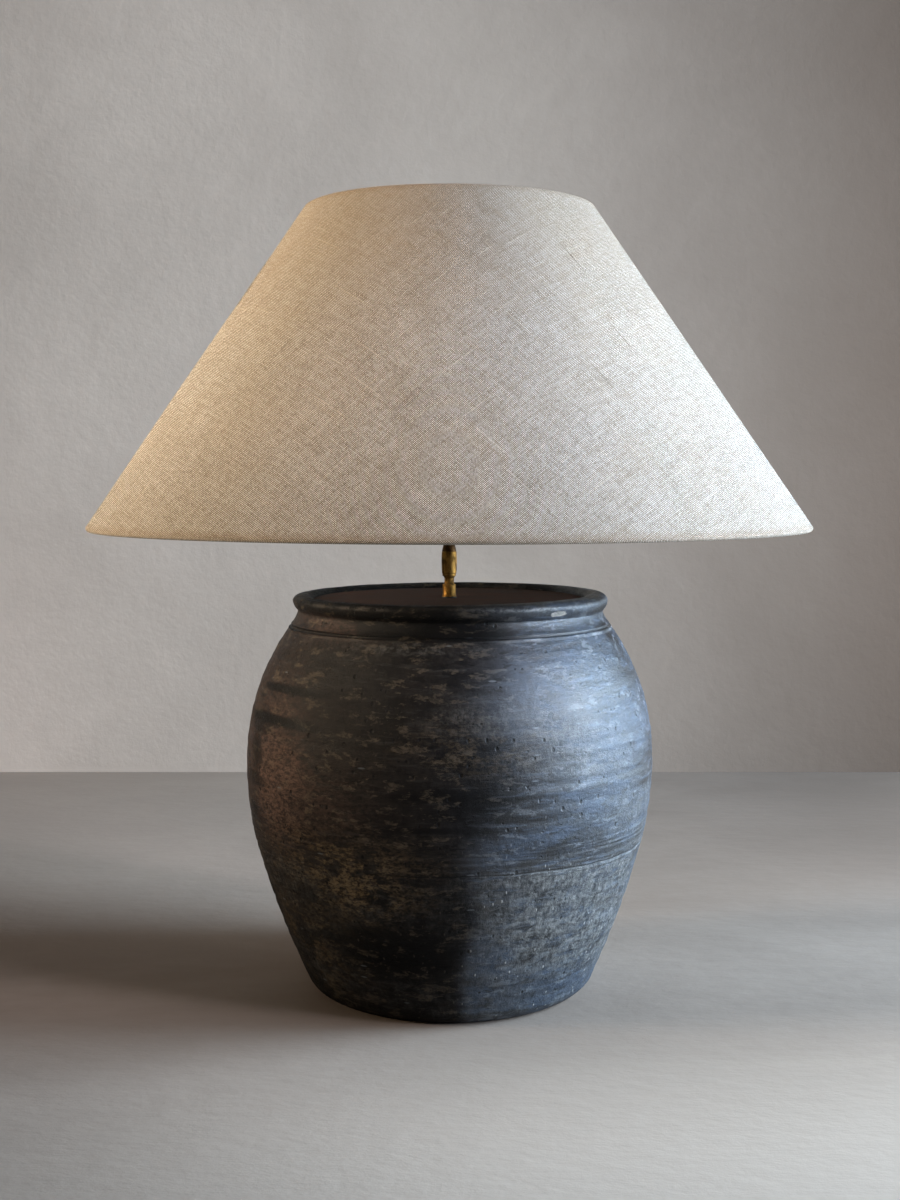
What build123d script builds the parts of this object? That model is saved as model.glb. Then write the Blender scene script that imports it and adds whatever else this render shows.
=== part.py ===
from build123d import *
from math import acos, asin, atan2, cos, degrees, radians, sin, sqrt
import os

os.makedirs("parts", exist_ok=True)

# Jar, measured from the table
jar_height = 380.5
belly_radius = 198.8
belly_height = jar_height * 0.589
shoulder_radius = 157.4
lower_arc = 300.0
lower_arc_drop = 97.0
heel_radius = 141.0
heel_height = 16.0
heel_bulge = 9.5
foot_radius = 124.0
foot_inner_radius = 112.0
foot_recess = 4.0
taper_bulge = 2.4
wall = 10.0
floor_thickness = 10.0
floor_corner = 20.0
lip_radius = 155.1
lip_drop = 5.0
lip_throat = 10.5
neck_band = 14.0
undercut_radius = 150.0
crest_radius = 146.5
mouth_radius = 134.0
mouth_round = 4.0
ledge_radius = 124.0
ledge_thickness = 8.0
groove_radius = 1.5

# Wooden disc in the mouth
disc_thickness = 18.0
disc_recess = 4.5
disc_gap = 0.9
disc_top = jar_height - disc_recess
disc_bottom = disc_top - disc_thickness
disc_radius = mouth_radius - disc_gap

# Lamp tube and its fixings
tube_radius = 5.0
tube_bore = 3.6
tube_clearance = 0.25
running_clearance = 0.05
nut_across_flats = 16.0
nut_height = 5.0
washer_radius = 12.0
washer_thickness = 1.5
bar_end_gap = 8.8
bar_width = 25.0
bar_thickness = 4.0
pad_length = 10.0
pad_thickness = 2.0

# Ball swivel
neck_washer_radius = 7.5
neck_washer_thickness = 1.2
collar_radius = 6.5
collar_height = 12.3
neck_radius = 4.7
neck_height = 5.9
ball_radius = 6.0
ball_gap = 0.05
cable_bore = 3.0
ring_radius = 6.75
ring_height = 1.5
ring_below_centre = 1.8
ring_groove = 0.9
spigot_radius = 6.55
spigot_height = 2.0
socket_bore = 6.6
barrel_low_radius = 7.1
barrel_radius = 7.55
barrel_top_radius = 7.3
barrel_height = 22.0
shoulder_height = 6.4
shoulder_top_radius = 5.6

# Lampholder
holder_gap = 9.0
holder_height = 24.0
holder_radius = 19.5
holder_wall = 1.5
shell_inner = 13.4
shell_outer = 13.9
shell_height = 26.0
ring_outer_radius = 28.0
ring_thickness = 5.0
hub_thickness = 3.0
hub_rim = 4.0

# Bulb
bulb_radius = 30.0
bulb_neck = 13.6
bulb_cap_radius = 13.1
bulb_wall = 1.0
bulb_rise = 52.0
bulb_cap_height = 20.0

# Shade
shade_overhang = 7.0
shade_height = 315.0
shade_bottom_radius = 350.0
shade_top_radius = 143.5
linen = 0.8
wire_radius = 2.0
wire_gap = 0.1
liner = 0.5
arm_count = 4
arm_gap = 0.25

# Cord hole low at the back
cord_height = 34.0
cord_hole_radius = 7.0
cord_bore = 3.7
grommet_flange = 10.5

# Heights of the jar's mouth follow from its height
lip_height = jar_height - lip_drop
undercut_height = lip_height - lip_throat
shoulder_top = undercut_height - neck_band
ledge_underside = disc_bottom - ledge_thickness
lower_arc_end = belly_height - lower_arc_drop

# The jar's outer wall is one arc above the belly, one below it and one down to the heel
shoulder_rise = shoulder_top - belly_height
shoulder_drop = belly_radius - shoulder_radius
shoulder_arc = (shoulder_rise**2 + shoulder_drop**2) / (2 * shoulder_drop)
shoulder_centre = belly_radius - shoulder_arc
lower_centre = belly_radius - lower_arc
lower_end = lower_centre + sqrt(lower_arc**2 - (belly_height - lower_arc_end) ** 2)
taper_mid_height = (lower_arc_end + heel_height) / 2
taper_mid_radius = (lower_end + heel_radius) / 2 + taper_bulge
ledge_rise = ledge_underside - belly_height
shoulder_half = asin(shoulder_rise / shoulder_arc) / 2
lower_half = asin(lower_arc_drop / lower_arc) / 2
inner_shoulder_half = asin(ledge_rise / (shoulder_arc - wall)) / 2
inner_lower_half = asin(lower_arc_drop / (lower_arc - wall)) / 2
shoulder_mid = (
    shoulder_centre + shoulder_arc * cos(shoulder_half),
    belly_height + shoulder_arc * sin(shoulder_half),
)
lower_mid = (lower_centre + lower_arc * cos(lower_half), belly_height - lower_arc * sin(lower_half))
inner_top = shoulder_centre + sqrt((shoulder_arc - wall) ** 2 - (ledge_underside - belly_height) ** 2)
inner_low = lower_centre + sqrt((lower_arc - wall) ** 2 - (belly_height - lower_arc_end) ** 2)
inner_heel = heel_radius - wall
inner_floor = foot_recess + floor_thickness
inner_shoulder_mid = (
    shoulder_centre + (shoulder_arc - wall) * cos(inner_shoulder_half),
    belly_height + (shoulder_arc - wall) * sin(inner_shoulder_half),
)
inner_lower_mid = (
    lower_centre + (lower_arc - wall) * cos(inner_lower_half),
    belly_height - (lower_arc - wall) * sin(inner_lower_half),
)

# The cord hole is drilled square to the tapered wall
cord_rise = (cord_height - heel_height) / (lower_arc_end - heel_height)
cord_swell = 4 * taper_bulge * cord_rise * (1 - cord_rise)
cord_radius = heel_radius + (lower_end - heel_radius) * cord_rise + cord_swell
taper_run = lower_end - heel_radius + 4 * taper_bulge * (1 - 2 * cord_rise)
taper = atan2(taper_run, lower_arc_end - heel_height)
cord_plane = Plane(
    origin=(0, cord_radius + 0.35, cord_height),
    x_dir=(1, 0, 0),
    z_dir=(0, cos(taper), -sin(taper)),
)

with BuildPart() as jar:
    with BuildSketch(Plane.XZ):
        with BuildLine():
            Line((0, foot_recess), (foot_inner_radius - 4, foot_recess))
            Line((foot_inner_radius - 4, foot_recess), (foot_inner_radius, 0))
            Line((foot_inner_radius, 0), (foot_radius, 0))
            ThreePointArc(
                (foot_radius, 0),
                (foot_radius + heel_bulge, heel_bulge / 2),
                (heel_radius, heel_height),
            )
            ThreePointArc(
                (heel_radius, heel_height),
                (taper_mid_radius, taper_mid_height),
                (lower_end, lower_arc_end),
            )
            ThreePointArc((lower_end, lower_arc_end), lower_mid, (belly_radius, belly_height))
            ThreePointArc((belly_radius, belly_height), shoulder_mid, (shoulder_radius, shoulder_top))
            ThreePointArc(
                (shoulder_radius, shoulder_top),
                (undercut_radius + 2.2, undercut_height - 6),
                (undercut_radius, undercut_height),
            )
            ThreePointArc(
                (undercut_radius, undercut_height),
                (lip_radius - 1.3, lip_height - 5.5),
                (lip_radius, lip_height),
            )
            ThreePointArc(
                (lip_radius, lip_height),
                (lip_radius - 2, jar_height - 1.7),
                (crest_radius, jar_height),
            )
            ThreePointArc(
                (crest_radius, jar_height),
                (mouth_radius + 3, jar_height - 1.2),
                (mouth_radius, jar_height - mouth_round),
            )
            Line((mouth_radius, jar_height - mouth_round), (mouth_radius, disc_bottom))
            Line((mouth_radius, disc_bottom), (ledge_radius, disc_bottom))
            Line((ledge_radius, disc_bottom), (ledge_radius, ledge_underside))
            Line((ledge_radius, ledge_underside), (inner_top, ledge_underside))
            ThreePointArc(
                (inner_top, ledge_underside),
                inner_shoulder_mid,
                (belly_radius - wall, belly_height),
            )
            ThreePointArc((belly_radius - wall, belly_height), inner_lower_mid, (inner_low, lower_arc_end))
            Line((inner_low, lower_arc_end), (inner_heel, inner_floor + 12))
            ThreePointArc(
                (inner_heel, inner_floor + 12),
                (inner_heel - 7, inner_floor + 3),
                (inner_heel - floor_corner, inner_floor),
            )
            Line((inner_heel - floor_corner, inner_floor), (0, inner_floor))
            Line((0, inner_floor), (0, foot_recess))
        make_face()
    revolve(axis=Axis.Z)
    # Ring cut in below the neck band
    with BuildSketch(Plane.XZ):
        with Locations((shoulder_radius + 0.5, shoulder_top + 0.5)):
            Circle(groove_radius)
    revolve(axis=Axis.Z, mode=Mode.SUBTRACT)
    with BuildSketch(cord_plane.offset(-20)):
        Circle(cord_hole_radius)
    extrude(amount=30, mode=Mode.SUBTRACT)
jar.part.label = "jar"
export_step(jar.part, "parts/jar.step")

with BuildPart() as cord_grommet:
    with BuildSketch(Plane(origin=cord_plane.origin, x_dir=(1, 0, 0), z_dir=(0, sin(taper), cos(taper)))):
        with BuildLine():
            Polyline(
                (cord_bore, 3.2),
                (grommet_flange - 1.5, 3.2),
                (grommet_flange, 1.7),
                (grommet_flange, 0.2),
                (cord_hole_radius - 0.2, 0.2),
                (cord_hole_radius - 0.2, -14.4),
                (cord_hole_radius + 1.6, -14.4),
                (cord_hole_radius + 0.6, -16.8),
                (cord_bore, -16.8),
                close=True,
            )
        make_face()
    revolve(axis=Axis(cord_plane.origin, cord_plane.z_dir))
cord_grommet.part.label = "cord_grommet"
export_step(cord_grommet.part, "parts/cord_grommet.step")

with BuildPart() as lid_disc:
    with BuildSketch(Plane.XY.offset(disc_bottom)):
        Circle(disc_radius)
        Circle(tube_radius + tube_clearance, mode=Mode.SUBTRACT)
    extrude(amount=disc_thickness)
    fillet(lid_disc.faces().sort_by(Axis.Z)[-1].outer_wire().edges(), 1.5)
lid_disc.part.label = "lid_disc"
export_step(lid_disc.part, "parts/lid_disc.step")

# Stack under the disc
lid_washer_bottom = disc_bottom - washer_thickness
lid_nut_bottom = lid_washer_bottom - nut_height
bar_top = ledge_underside - pad_thickness
bar_bottom = bar_top - bar_thickness
clamp_washer_bottom = bar_bottom - washer_thickness
clamp_nut_bottom = clamp_washer_bottom - nut_height
tube_bottom = clamp_nut_bottom - 4
bar_length = 2 * (inner_top - bar_end_gap)
collar_bottom = disc_top + neck_washer_thickness + 0.05
tube_top = collar_bottom + collar_height - 3

with BuildPart() as stem_tube:
    with BuildSketch(Plane.XY.offset(tube_bottom)):
        Circle(tube_radius)
        Circle(tube_bore, mode=Mode.SUBTRACT)
    extrude(amount=tube_top - tube_bottom)
    chamfer(stem_tube.edges().filter_by(GeomType.CIRCLE).filter_by(lambda e: e.radius > tube_bore + 1), 0.5)
stem_tube.part.label = "stem_tube"
export_step(stem_tube.part, "parts/stem_tube.step")

with BuildPart() as neck_washer:
    with BuildSketch(Plane.XY.offset(disc_top)):
        Circle(neck_washer_radius)
        Circle(tube_radius + tube_clearance, mode=Mode.SUBTRACT)
    extrude(amount=neck_washer_thickness)
neck_washer.part.label = "neck_washer"
export_step(neck_washer.part, "parts/neck_washer.step")

with BuildPart() as lid_washer:
    with BuildSketch(Plane.XY.offset(lid_washer_bottom)):
        Circle(washer_radius)
        Circle(tube_radius + tube_clearance, mode=Mode.SUBTRACT)
    extrude(amount=washer_thickness)
lid_washer.part.label = "lid_washer"
export_step(lid_washer.part, "parts/lid_washer.step")

with BuildPart() as lid_nut:
    with BuildSketch(Plane.XY.offset(lid_nut_bottom)):
        RegularPolygon(nut_across_flats / 2, 6, major_radius=False)
        Circle(tube_radius + running_clearance, mode=Mode.SUBTRACT)
    extrude(amount=nut_height)
lid_nut.part.label = "lid_nut"
export_step(lid_nut.part, "parts/lid_nut.step")

with BuildPart() as clamp_bar:
    with BuildSketch(Plane.XY.offset(bar_bottom)):
        RectangleRounded(bar_length, bar_width, 6)
        Circle(tube_radius + tube_clearance, mode=Mode.SUBTRACT)
    extrude(amount=bar_thickness)
clamp_bar.part.label = "clamp_bar"
export_step(clamp_bar.part, "parts/clamp_bar.step")

with BuildPart() as clamp_pads:
    with BuildSketch(Plane.XY.offset(bar_top)):
        with Locations((-bar_length / 2 + 2 + pad_length / 2, 0), (bar_length / 2 - 2 - pad_length / 2, 0)):
            RectangleRounded(pad_length, bar_width - 8, 2)
    extrude(amount=pad_thickness)
clamp_pads.part.label = "clamp_pads"
export_step(clamp_pads.part, "parts/clamp_pads.step")

with BuildPart() as clamp_washer:
    with BuildSketch(Plane.XY.offset(clamp_washer_bottom)):
        Circle(washer_radius)
        Circle(tube_radius + tube_clearance, mode=Mode.SUBTRACT)
    extrude(amount=washer_thickness)
clamp_washer.part.label = "clamp_washer"
export_step(clamp_washer.part, "parts/clamp_washer.step")

with BuildPart() as clamp_nut:
    with BuildSketch(Plane.XY.offset(clamp_nut_bottom)):
        RegularPolygon(nut_across_flats / 2, 6, major_radius=False)
        Circle(tube_radius + running_clearance, mode=Mode.SUBTRACT)
    extrude(amount=nut_height)
clamp_nut.part.label = "clamp_nut"
export_step(clamp_nut.part, "parts/clamp_nut.step")

# Ball swivel, from the collar up
collar_top = collar_bottom + collar_height
ball_drop = sqrt(ball_radius**2 - neck_radius**2)
ball_centre = collar_top + neck_height + ball_drop
ball_top = sqrt(ball_radius**2 - cable_bore**2)
socket_radius = ball_radius + ball_gap

with BuildPart() as swivel_stem:
    with BuildSketch(Plane.XZ):
        with BuildLine():
            Polyline(
                (neck_radius, ball_centre - ball_drop),
                (neck_radius, collar_top + 0.6),
                (neck_radius + 0.6, collar_top),
                (collar_radius - 0.5, collar_top),
                (collar_radius, collar_top - 0.5),
                (collar_radius, collar_bottom + 1.6),
                (collar_radius + 0.5, collar_bottom + 1.1),
                (collar_radius + 0.5, collar_bottom),
                (tube_radius + running_clearance, collar_bottom),
                (tube_radius + running_clearance, tube_top + 0.5),
                (cable_bore, tube_top + 0.5),
                (cable_bore, ball_centre + ball_top),
            )
            ThreePointArc(
                (cable_bore, ball_centre + ball_top),
                (ball_radius, ball_centre),
                (neck_radius, ball_centre - ball_drop),
            )
        make_face()
    revolve(axis=Axis.Z)
swivel_stem.part.label = "swivel_stem"
export_step(swivel_stem.part, "parts/swivel_stem.step")

ring_bottom = ball_centre - ring_below_centre
ring_top = ring_bottom + ring_height
barrel_bottom = ring_top + ring_groove
spigot_top = barrel_bottom + spigot_height
ring_opening = sqrt(socket_radius**2 - ring_below_centre**2)

with BuildPart() as swivel_ring:
    with BuildSketch(Plane.XZ):
        with BuildLine():
            ThreePointArc(
                (ring_opening, ring_bottom),
                (socket_radius * cos(radians(8)), ball_centre - socket_radius * sin(radians(8))),
                (socket_radius, ball_centre),
            )
            Polyline(
                (socket_radius, ball_centre),
                (socket_radius, spigot_top),
                (spigot_radius, spigot_top),
                (spigot_radius, ring_top),
                (ring_radius, ring_top),
                (ring_radius, ring_bottom + 0.6),
                (ring_radius - 0.6, ring_bottom),
                (ring_opening, ring_bottom),
            )
        make_face()
    revolve(axis=Axis.Z)
swivel_ring.part.label = "swivel_ring"
export_step(swivel_ring.part, "parts/swivel_ring.step")

barrel_top = barrel_bottom + barrel_height
with BuildPart() as swivel_barrel:
    with BuildSketch(Plane.XZ):
        with BuildLine():
            Line((socket_bore, barrel_bottom), (barrel_low_radius - 0.3, barrel_bottom))
            Line((barrel_low_radius - 0.3, barrel_bottom), (barrel_low_radius, barrel_bottom + 0.4))
            ThreePointArc(
                (barrel_low_radius, barrel_bottom + 0.4),
                (barrel_radius, barrel_bottom + barrel_height * 0.6),
                (barrel_top_radius, barrel_top - 0.4),
            )
            Line((barrel_top_radius, barrel_top - 0.4), (barrel_top_radius - 0.3, barrel_top))
            Line((barrel_top_radius - 0.3, barrel_top), (socket_bore, barrel_top))
            Line((socket_bore, barrel_top), (socket_bore, barrel_bottom))
        make_face()
    revolve(axis=Axis.Z)
swivel_barrel.part.label = "swivel_barrel"
export_step(swivel_barrel.part, "parts/swivel_barrel.step")

# Friction seat: a cup on the top of the ball
seat_bottom = spigot_top + 0.2
seat_top = ball_centre + socket_radius + 2.0
seat_low = sqrt(socket_radius**2 - (seat_bottom - ball_centre) ** 2)
seat_hole = cable_bore + 0.6
seat_rise = sqrt(socket_radius**2 - seat_hole**2)
seat_mid = radians(52)
with BuildPart() as swivel_seat:
    with BuildSketch(Plane.XZ):
        with BuildLine():
            ThreePointArc(
                (seat_low, seat_bottom),
                (socket_radius * cos(seat_mid), ball_centre + socket_radius * sin(seat_mid)),
                (seat_hole, ball_centre + seat_rise),
            )
            Polyline(
                (seat_hole, ball_centre + seat_rise),
                (seat_hole, seat_top),
                (spigot_radius, seat_top),
                (spigot_radius, seat_bottom),
                (seat_low, seat_bottom),
            )
        make_face()
    revolve(axis=Axis.Z)
swivel_seat.part.label = "swivel_seat"
export_step(swivel_seat.part, "parts/swivel_seat.step")

# Two disc springs set edge to edge
spring_rise = 1.2
spring_thickness = 0.6
spring_inner = 3.8
spring_outer = 6.4
spring_mid = seat_top + spring_rise + spring_thickness
spring_top = spring_mid + spring_rise + spring_thickness
with BuildPart() as swivel_springs:
    with BuildSketch(Plane.XZ):
        with BuildLine():
            Polyline(
                (spring_inner, seat_top),
                (spring_inner, seat_top + spring_thickness),
                (spring_outer, spring_mid),
                (spring_outer, spring_mid - spring_thickness),
                close=True,
            )
        make_face()
    revolve(axis=Axis.Z)
    with BuildSketch(Plane.XZ):
        with BuildLine():
            Polyline(
                (spring_inner, spring_top),
                (spring_inner, spring_top - spring_thickness),
                (spring_outer, spring_mid + 0.02),
                (spring_outer, spring_mid + 0.02 + spring_thickness),
                close=True,
            )
        make_face()
    revolve(axis=Axis.Z)
swivel_springs.part.label = "swivel_springs"
export_step(swivel_springs.part, "parts/swivel_springs.step")

nut_top = barrel_top + shoulder_height
holder_bottom = nut_top + holder_gap
with BuildPart() as swivel_top_nut:
    with BuildSketch(Plane.XZ):
        with BuildLine():
            Line((cable_bore + 0.8, spring_top), (spigot_radius, spring_top))
            Line((spigot_radius, spring_top), (spigot_radius, barrel_top))
            Line((spigot_radius, barrel_top), (barrel_top_radius - 0.2, barrel_top))
            ThreePointArc(
                (barrel_top_radius - 0.2, barrel_top),
                (barrel_top_radius - 0.75, barrel_top + shoulder_height * 0.5),
                (shoulder_top_radius, nut_top),
            )
            Line((shoulder_top_radius, nut_top), (tube_radius + running_clearance, nut_top))
            Line(
                (tube_radius + running_clearance, nut_top),
                (tube_radius + running_clearance, barrel_top - 4),
            )
            Line((tube_radius + running_clearance, barrel_top - 4), (cable_bore + 0.8, barrel_top - 4))
            Line((cable_bore + 0.8, barrel_top - 4), (cable_bore + 0.8, spring_top))
        make_face()
    revolve(axis=Axis.Z)
swivel_top_nut.part.label = "swivel_top_nut"
export_step(swivel_top_nut.part, "parts/swivel_top_nut.step")

nipple_bottom = barrel_top - 4
nipple_top = holder_bottom + 11
with BuildPart() as nipple:
    with BuildSketch(Plane.XY.offset(nipple_bottom)):
        Circle(tube_radius)
        Circle(tube_bore, mode=Mode.SUBTRACT)
    extrude(amount=nipple_top - nipple_bottom)
nipple.part.label = "nipple"
export_step(nipple.part, "parts/nipple.step")

# Lampholder
cap_neck = 8.0
cap_top = holder_bottom + holder_height
insert_bottom = cap_top - 8
insert_top = cap_top + 6
shell_top = insert_top + shell_height
sleeve_top = shell_top + 3
with BuildPart() as holder_cap:
    with BuildSketch(Plane.XZ):
        with BuildLine():
            Line((tube_radius + running_clearance, holder_bottom), (cap_neck, holder_bottom))
            Line((cap_neck, holder_bottom), (cap_neck, holder_bottom + 3))
            ThreePointArc(
                (cap_neck, holder_bottom + 3),
                (16.5, holder_bottom + 6.5),
                (holder_radius + 1, holder_bottom + 14),
            )
            Line((holder_radius + 1, holder_bottom + 14), (holder_radius + 1, cap_top))
            Line((holder_radius + 1, cap_top), (holder_radius - 0.6, cap_top))
            Line((holder_radius - 0.6, cap_top), (holder_radius - 0.6, holder_bottom + 14.5))
            ThreePointArc(
                (holder_radius - 0.6, holder_bottom + 14.5),
                (15.4, holder_bottom + 8.2),
                (cap_neck, holder_bottom + 5),
            )
            Line((cap_neck, holder_bottom + 5), (cap_neck, holder_bottom + 10))
            Line((cap_neck, holder_bottom + 10), (tube_radius + running_clearance, holder_bottom + 10))
            Line(
                (tube_radius + running_clearance, holder_bottom + 10),
                (tube_radius + running_clearance, holder_bottom),
            )
        make_face()
    revolve(axis=Axis.Z)
holder_cap.part.label = "holder_cap"
export_step(holder_cap.part, "parts/holder_cap.step")

with BuildPart() as holder_insert:
    with BuildSketch(Plane.XY.offset(insert_bottom)):
        Circle(16.5)
    extrude(amount=insert_top - insert_bottom)
    with BuildSketch(Plane.XY.offset(insert_bottom)):
        Circle(5)
    extrude(amount=8, mode=Mode.SUBTRACT)
    with BuildSketch(Plane.XY.offset(insert_bottom)):
        with Locations((-11, 0), (11, 0)):
            Circle(2.2)
    extrude(amount=6, mode=Mode.SUBTRACT)
    chamfer(holder_insert.faces().sort_by(Axis.Z)[-1].edges(), 1)
holder_insert.part.label = "holder_insert"
export_step(holder_insert.part, "parts/holder_insert.step")

with BuildPart() as terminal_screws:
    with BuildSketch(Plane.XY.offset(insert_bottom)):
        with Locations((-11, 0), (11, 0)):
            Circle(2.0)
    extrude(amount=6)
    with BuildSketch(Plane.XY.offset(insert_bottom)):
        with Locations((-11, 0), (11, 0)):
            Circle(3.2)
    extrude(amount=-2)
    with BuildSketch(Plane.XY.offset(insert_bottom - 2)):
        with Locations((-11, 0), (11, 0)):
            Rectangle(7, 0.8)
    extrude(amount=1, mode=Mode.SUBTRACT)
terminal_screws.part.label = "terminal_screws"
export_step(terminal_screws.part, "parts/terminal_screws.step")

with BuildPart() as holder_shell:
    with BuildSketch(Plane.XY.offset(insert_top)):
        Circle(shell_outer)
        Circle(shell_inner, mode=Mode.SUBTRACT)
    extrude(amount=shell_top - insert_top)
holder_shell.part.label = "holder_shell"
export_step(holder_shell.part, "parts/holder_shell.step")

with BuildPart() as holder_contact:
    with BuildSketch(Plane.XZ):
        with BuildLine():
            Polyline(
                (-9, insert_top),
                (4, insert_top),
                (4, insert_top + 0.6),
                (-8, insert_top + 0.6),
                (3, insert_top + 3.2),
                (3, insert_top + 3.8),
                (-9, insert_top + 0.9),
                close=True,
            )
        make_face()
    extrude(amount=3, both=True)
holder_contact.part.label = "holder_contact"
export_step(holder_contact.part, "parts/holder_contact.step")

with BuildPart() as holder_sleeve:
    with BuildSketch(Plane.XZ):
        with BuildLine():
            Polyline(
                (15.2, cap_top + 7),
                (15.2, sleeve_top),
                (holder_radius - 0.8, sleeve_top),
                (holder_radius, sleeve_top - 0.8),
                (holder_radius, cap_top + 3),
                (holder_radius + 1, cap_top + 3),
                (holder_radius + 1, cap_top + 0.1),
                (17.2, cap_top + 0.1),
                (17.2, cap_top + 7),
                close=True,
            )
        make_face()
    revolve(axis=Axis.Z)
holder_sleeve.part.label = "holder_sleeve"
export_step(holder_sleeve.part, "parts/holder_sleeve.step")

# Two threaded rings clamp the shade's hub
lower_ring_bottom = cap_top + 14
hub_bottom = lower_ring_bottom + ring_thickness
upper_ring_bottom = hub_bottom + hub_thickness
with BuildPart() as shade_ring_lower:
    with BuildSketch(Plane.XY.offset(lower_ring_bottom)):
        Circle(ring_outer_radius)
        Circle(holder_radius + running_clearance, mode=Mode.SUBTRACT)
    extrude(amount=ring_thickness)
    chamfer(shade_ring_lower.faces().sort_by(Axis.Z)[0].outer_wire().edges(), 1.2)
shade_ring_lower.part.label = "shade_ring_lower"
export_step(shade_ring_lower.part, "parts/shade_ring_lower.step")

with BuildPart() as shade_ring_upper:
    with BuildSketch(Plane.XY.offset(upper_ring_bottom)):
        Circle(ring_outer_radius)
        Circle(holder_radius + running_clearance, mode=Mode.SUBTRACT)
    extrude(amount=ring_thickness)
    chamfer(shade_ring_upper.faces().sort_by(Axis.Z)[-1].outer_wire().edges(), 1.2)
shade_ring_upper.part.label = "shade_ring_upper"
export_step(shade_ring_upper.part, "parts/shade_ring_upper.step")

# Bulb
tip_bottom = insert_top + 3.9
with BuildPart() as bulb_tip:
    with BuildSketch(Plane.XY.offset(tip_bottom)):
        Circle(4.5)
    extrude(amount=1.2)
bulb_tip.part.label = "bulb_tip"
export_step(bulb_tip.part, "parts/bulb_tip.step")

insulator_bottom = tip_bottom + 1.2
cap_bottom = insulator_bottom + 3
bulb_cap_top = cap_bottom + bulb_cap_height
with BuildPart() as bulb_insulator:
    with BuildSketch(Plane.XY.offset(insulator_bottom)):
        Circle(5.5)
    with BuildSketch(Plane.XY.offset(cap_bottom)):
        Circle(11.0)
    loft()
bulb_insulator.part.label = "bulb_insulator"
export_step(bulb_insulator.part, "parts/bulb_insulator.step")

with BuildPart() as bulb_cap:
    with BuildSketch(Plane.XZ):
        with BuildLine():
            Polyline(
                (0, cap_bottom),
                (11.0, cap_bottom),
                (bulb_cap_radius, cap_bottom + 2),
                (bulb_cap_radius, bulb_cap_top),
                (bulb_cap_radius - 0.6, bulb_cap_top),
                (bulb_cap_radius - 0.6, cap_bottom + 2.4),
                (10.8, cap_bottom + 0.8),
                (0, cap_bottom + 0.8),
                close=True,
            )
        make_face()
    revolve(axis=Axis.Z)
bulb_cap.part.label = "bulb_cap"
export_step(bulb_cap.part, "parts/bulb_cap.step")

# The globe runs down into a straight taper that meets it as a tangent
globe_centre = bulb_cap_top + bulb_rise
neck_top = bulb_cap_top + 5
neck_drop = globe_centre - neck_top
glass_inner = bulb_radius - bulb_wall
neck_inner = bulb_neck - bulb_wall
outer_touch = acos(bulb_radius / sqrt(bulb_neck**2 + neck_drop**2)) - atan2(neck_drop, bulb_neck)
inner_touch = acos(glass_inner / sqrt(neck_inner**2 + neck_drop**2)) - atan2(neck_drop, neck_inner)
outer_point = (bulb_radius * cos(outer_touch), globe_centre + bulb_radius * sin(outer_touch))
inner_point = (glass_inner * cos(inner_touch), globe_centre + glass_inner * sin(inner_touch))
outer_side = (bulb_radius * cos(0.5), globe_centre + bulb_radius * sin(0.5))
inner_side = (glass_inner * cos(0.5), globe_centre + glass_inner * sin(0.5))
with BuildPart() as bulb_glass:
    with BuildSketch(Plane.XZ):
        with BuildLine():
            Line((neck_inner, bulb_cap_top + 0.1), (bulb_neck, bulb_cap_top + 0.1))
            Line((bulb_neck, bulb_cap_top + 0.1), (bulb_neck, neck_top))
            Line((bulb_neck, neck_top), outer_point)
            ThreePointArc(outer_point, outer_side, (0, globe_centre + bulb_radius))
            Line((0, globe_centre + bulb_radius), (0, globe_centre + glass_inner))
            ThreePointArc((0, globe_centre + glass_inner), inner_side, inner_point)
            Line(inner_point, (neck_inner, neck_top))
            Line((neck_inner, neck_top), (neck_inner, bulb_cap_top + 0.1))
        make_face()
    revolve(axis=Axis.Z)
bulb_glass.part.label = "bulb_glass"
export_step(bulb_glass.part, "parts/bulb_glass.step")

# Shade: the linen lies one wire and its own thickness outside the line between the two wires
hem_inner = wire_radius + wire_gap
hem_outer = hem_inner + linen
shade_bottom = holder_bottom + shade_overhang
shade_top = shade_bottom + shade_height
low_wire = (shade_bottom_radius - hem_outer, shade_bottom + hem_outer)
high_wire = (shade_top_radius - hem_outer, shade_top - hem_outer)
slant = atan2(low_wire[0] - high_wire[0], high_wire[1] - low_wire[1])
out = (cos(slant), sin(slant))
up = (-sin(slant), cos(slant))

with BuildPart() as shade_cover:
    with BuildSketch(Plane.XZ):
        with BuildLine():
            Polyline(
                (low_wire[0] + out[0] * hem_inner, low_wire[1] + out[1] * hem_inner),
                (low_wire[0] + out[0] * hem_outer, low_wire[1] + out[1] * hem_outer),
                (high_wire[0] + out[0] * hem_outer, high_wire[1] + out[1] * hem_outer),
                (high_wire[0] + out[0] * hem_inner, high_wire[1] + out[1] * hem_inner),
                close=True,
            )
        make_face()
        with Locations(low_wire, high_wire):
            Circle(hem_outer)
        with Locations(low_wire, high_wire):
            Circle(hem_inner, mode=Mode.SUBTRACT)
    revolve(axis=Axis.Z)
shade_cover.part.label = "shade_cover"
export_step(shade_cover.part, "parts/shade_cover.step")

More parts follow.
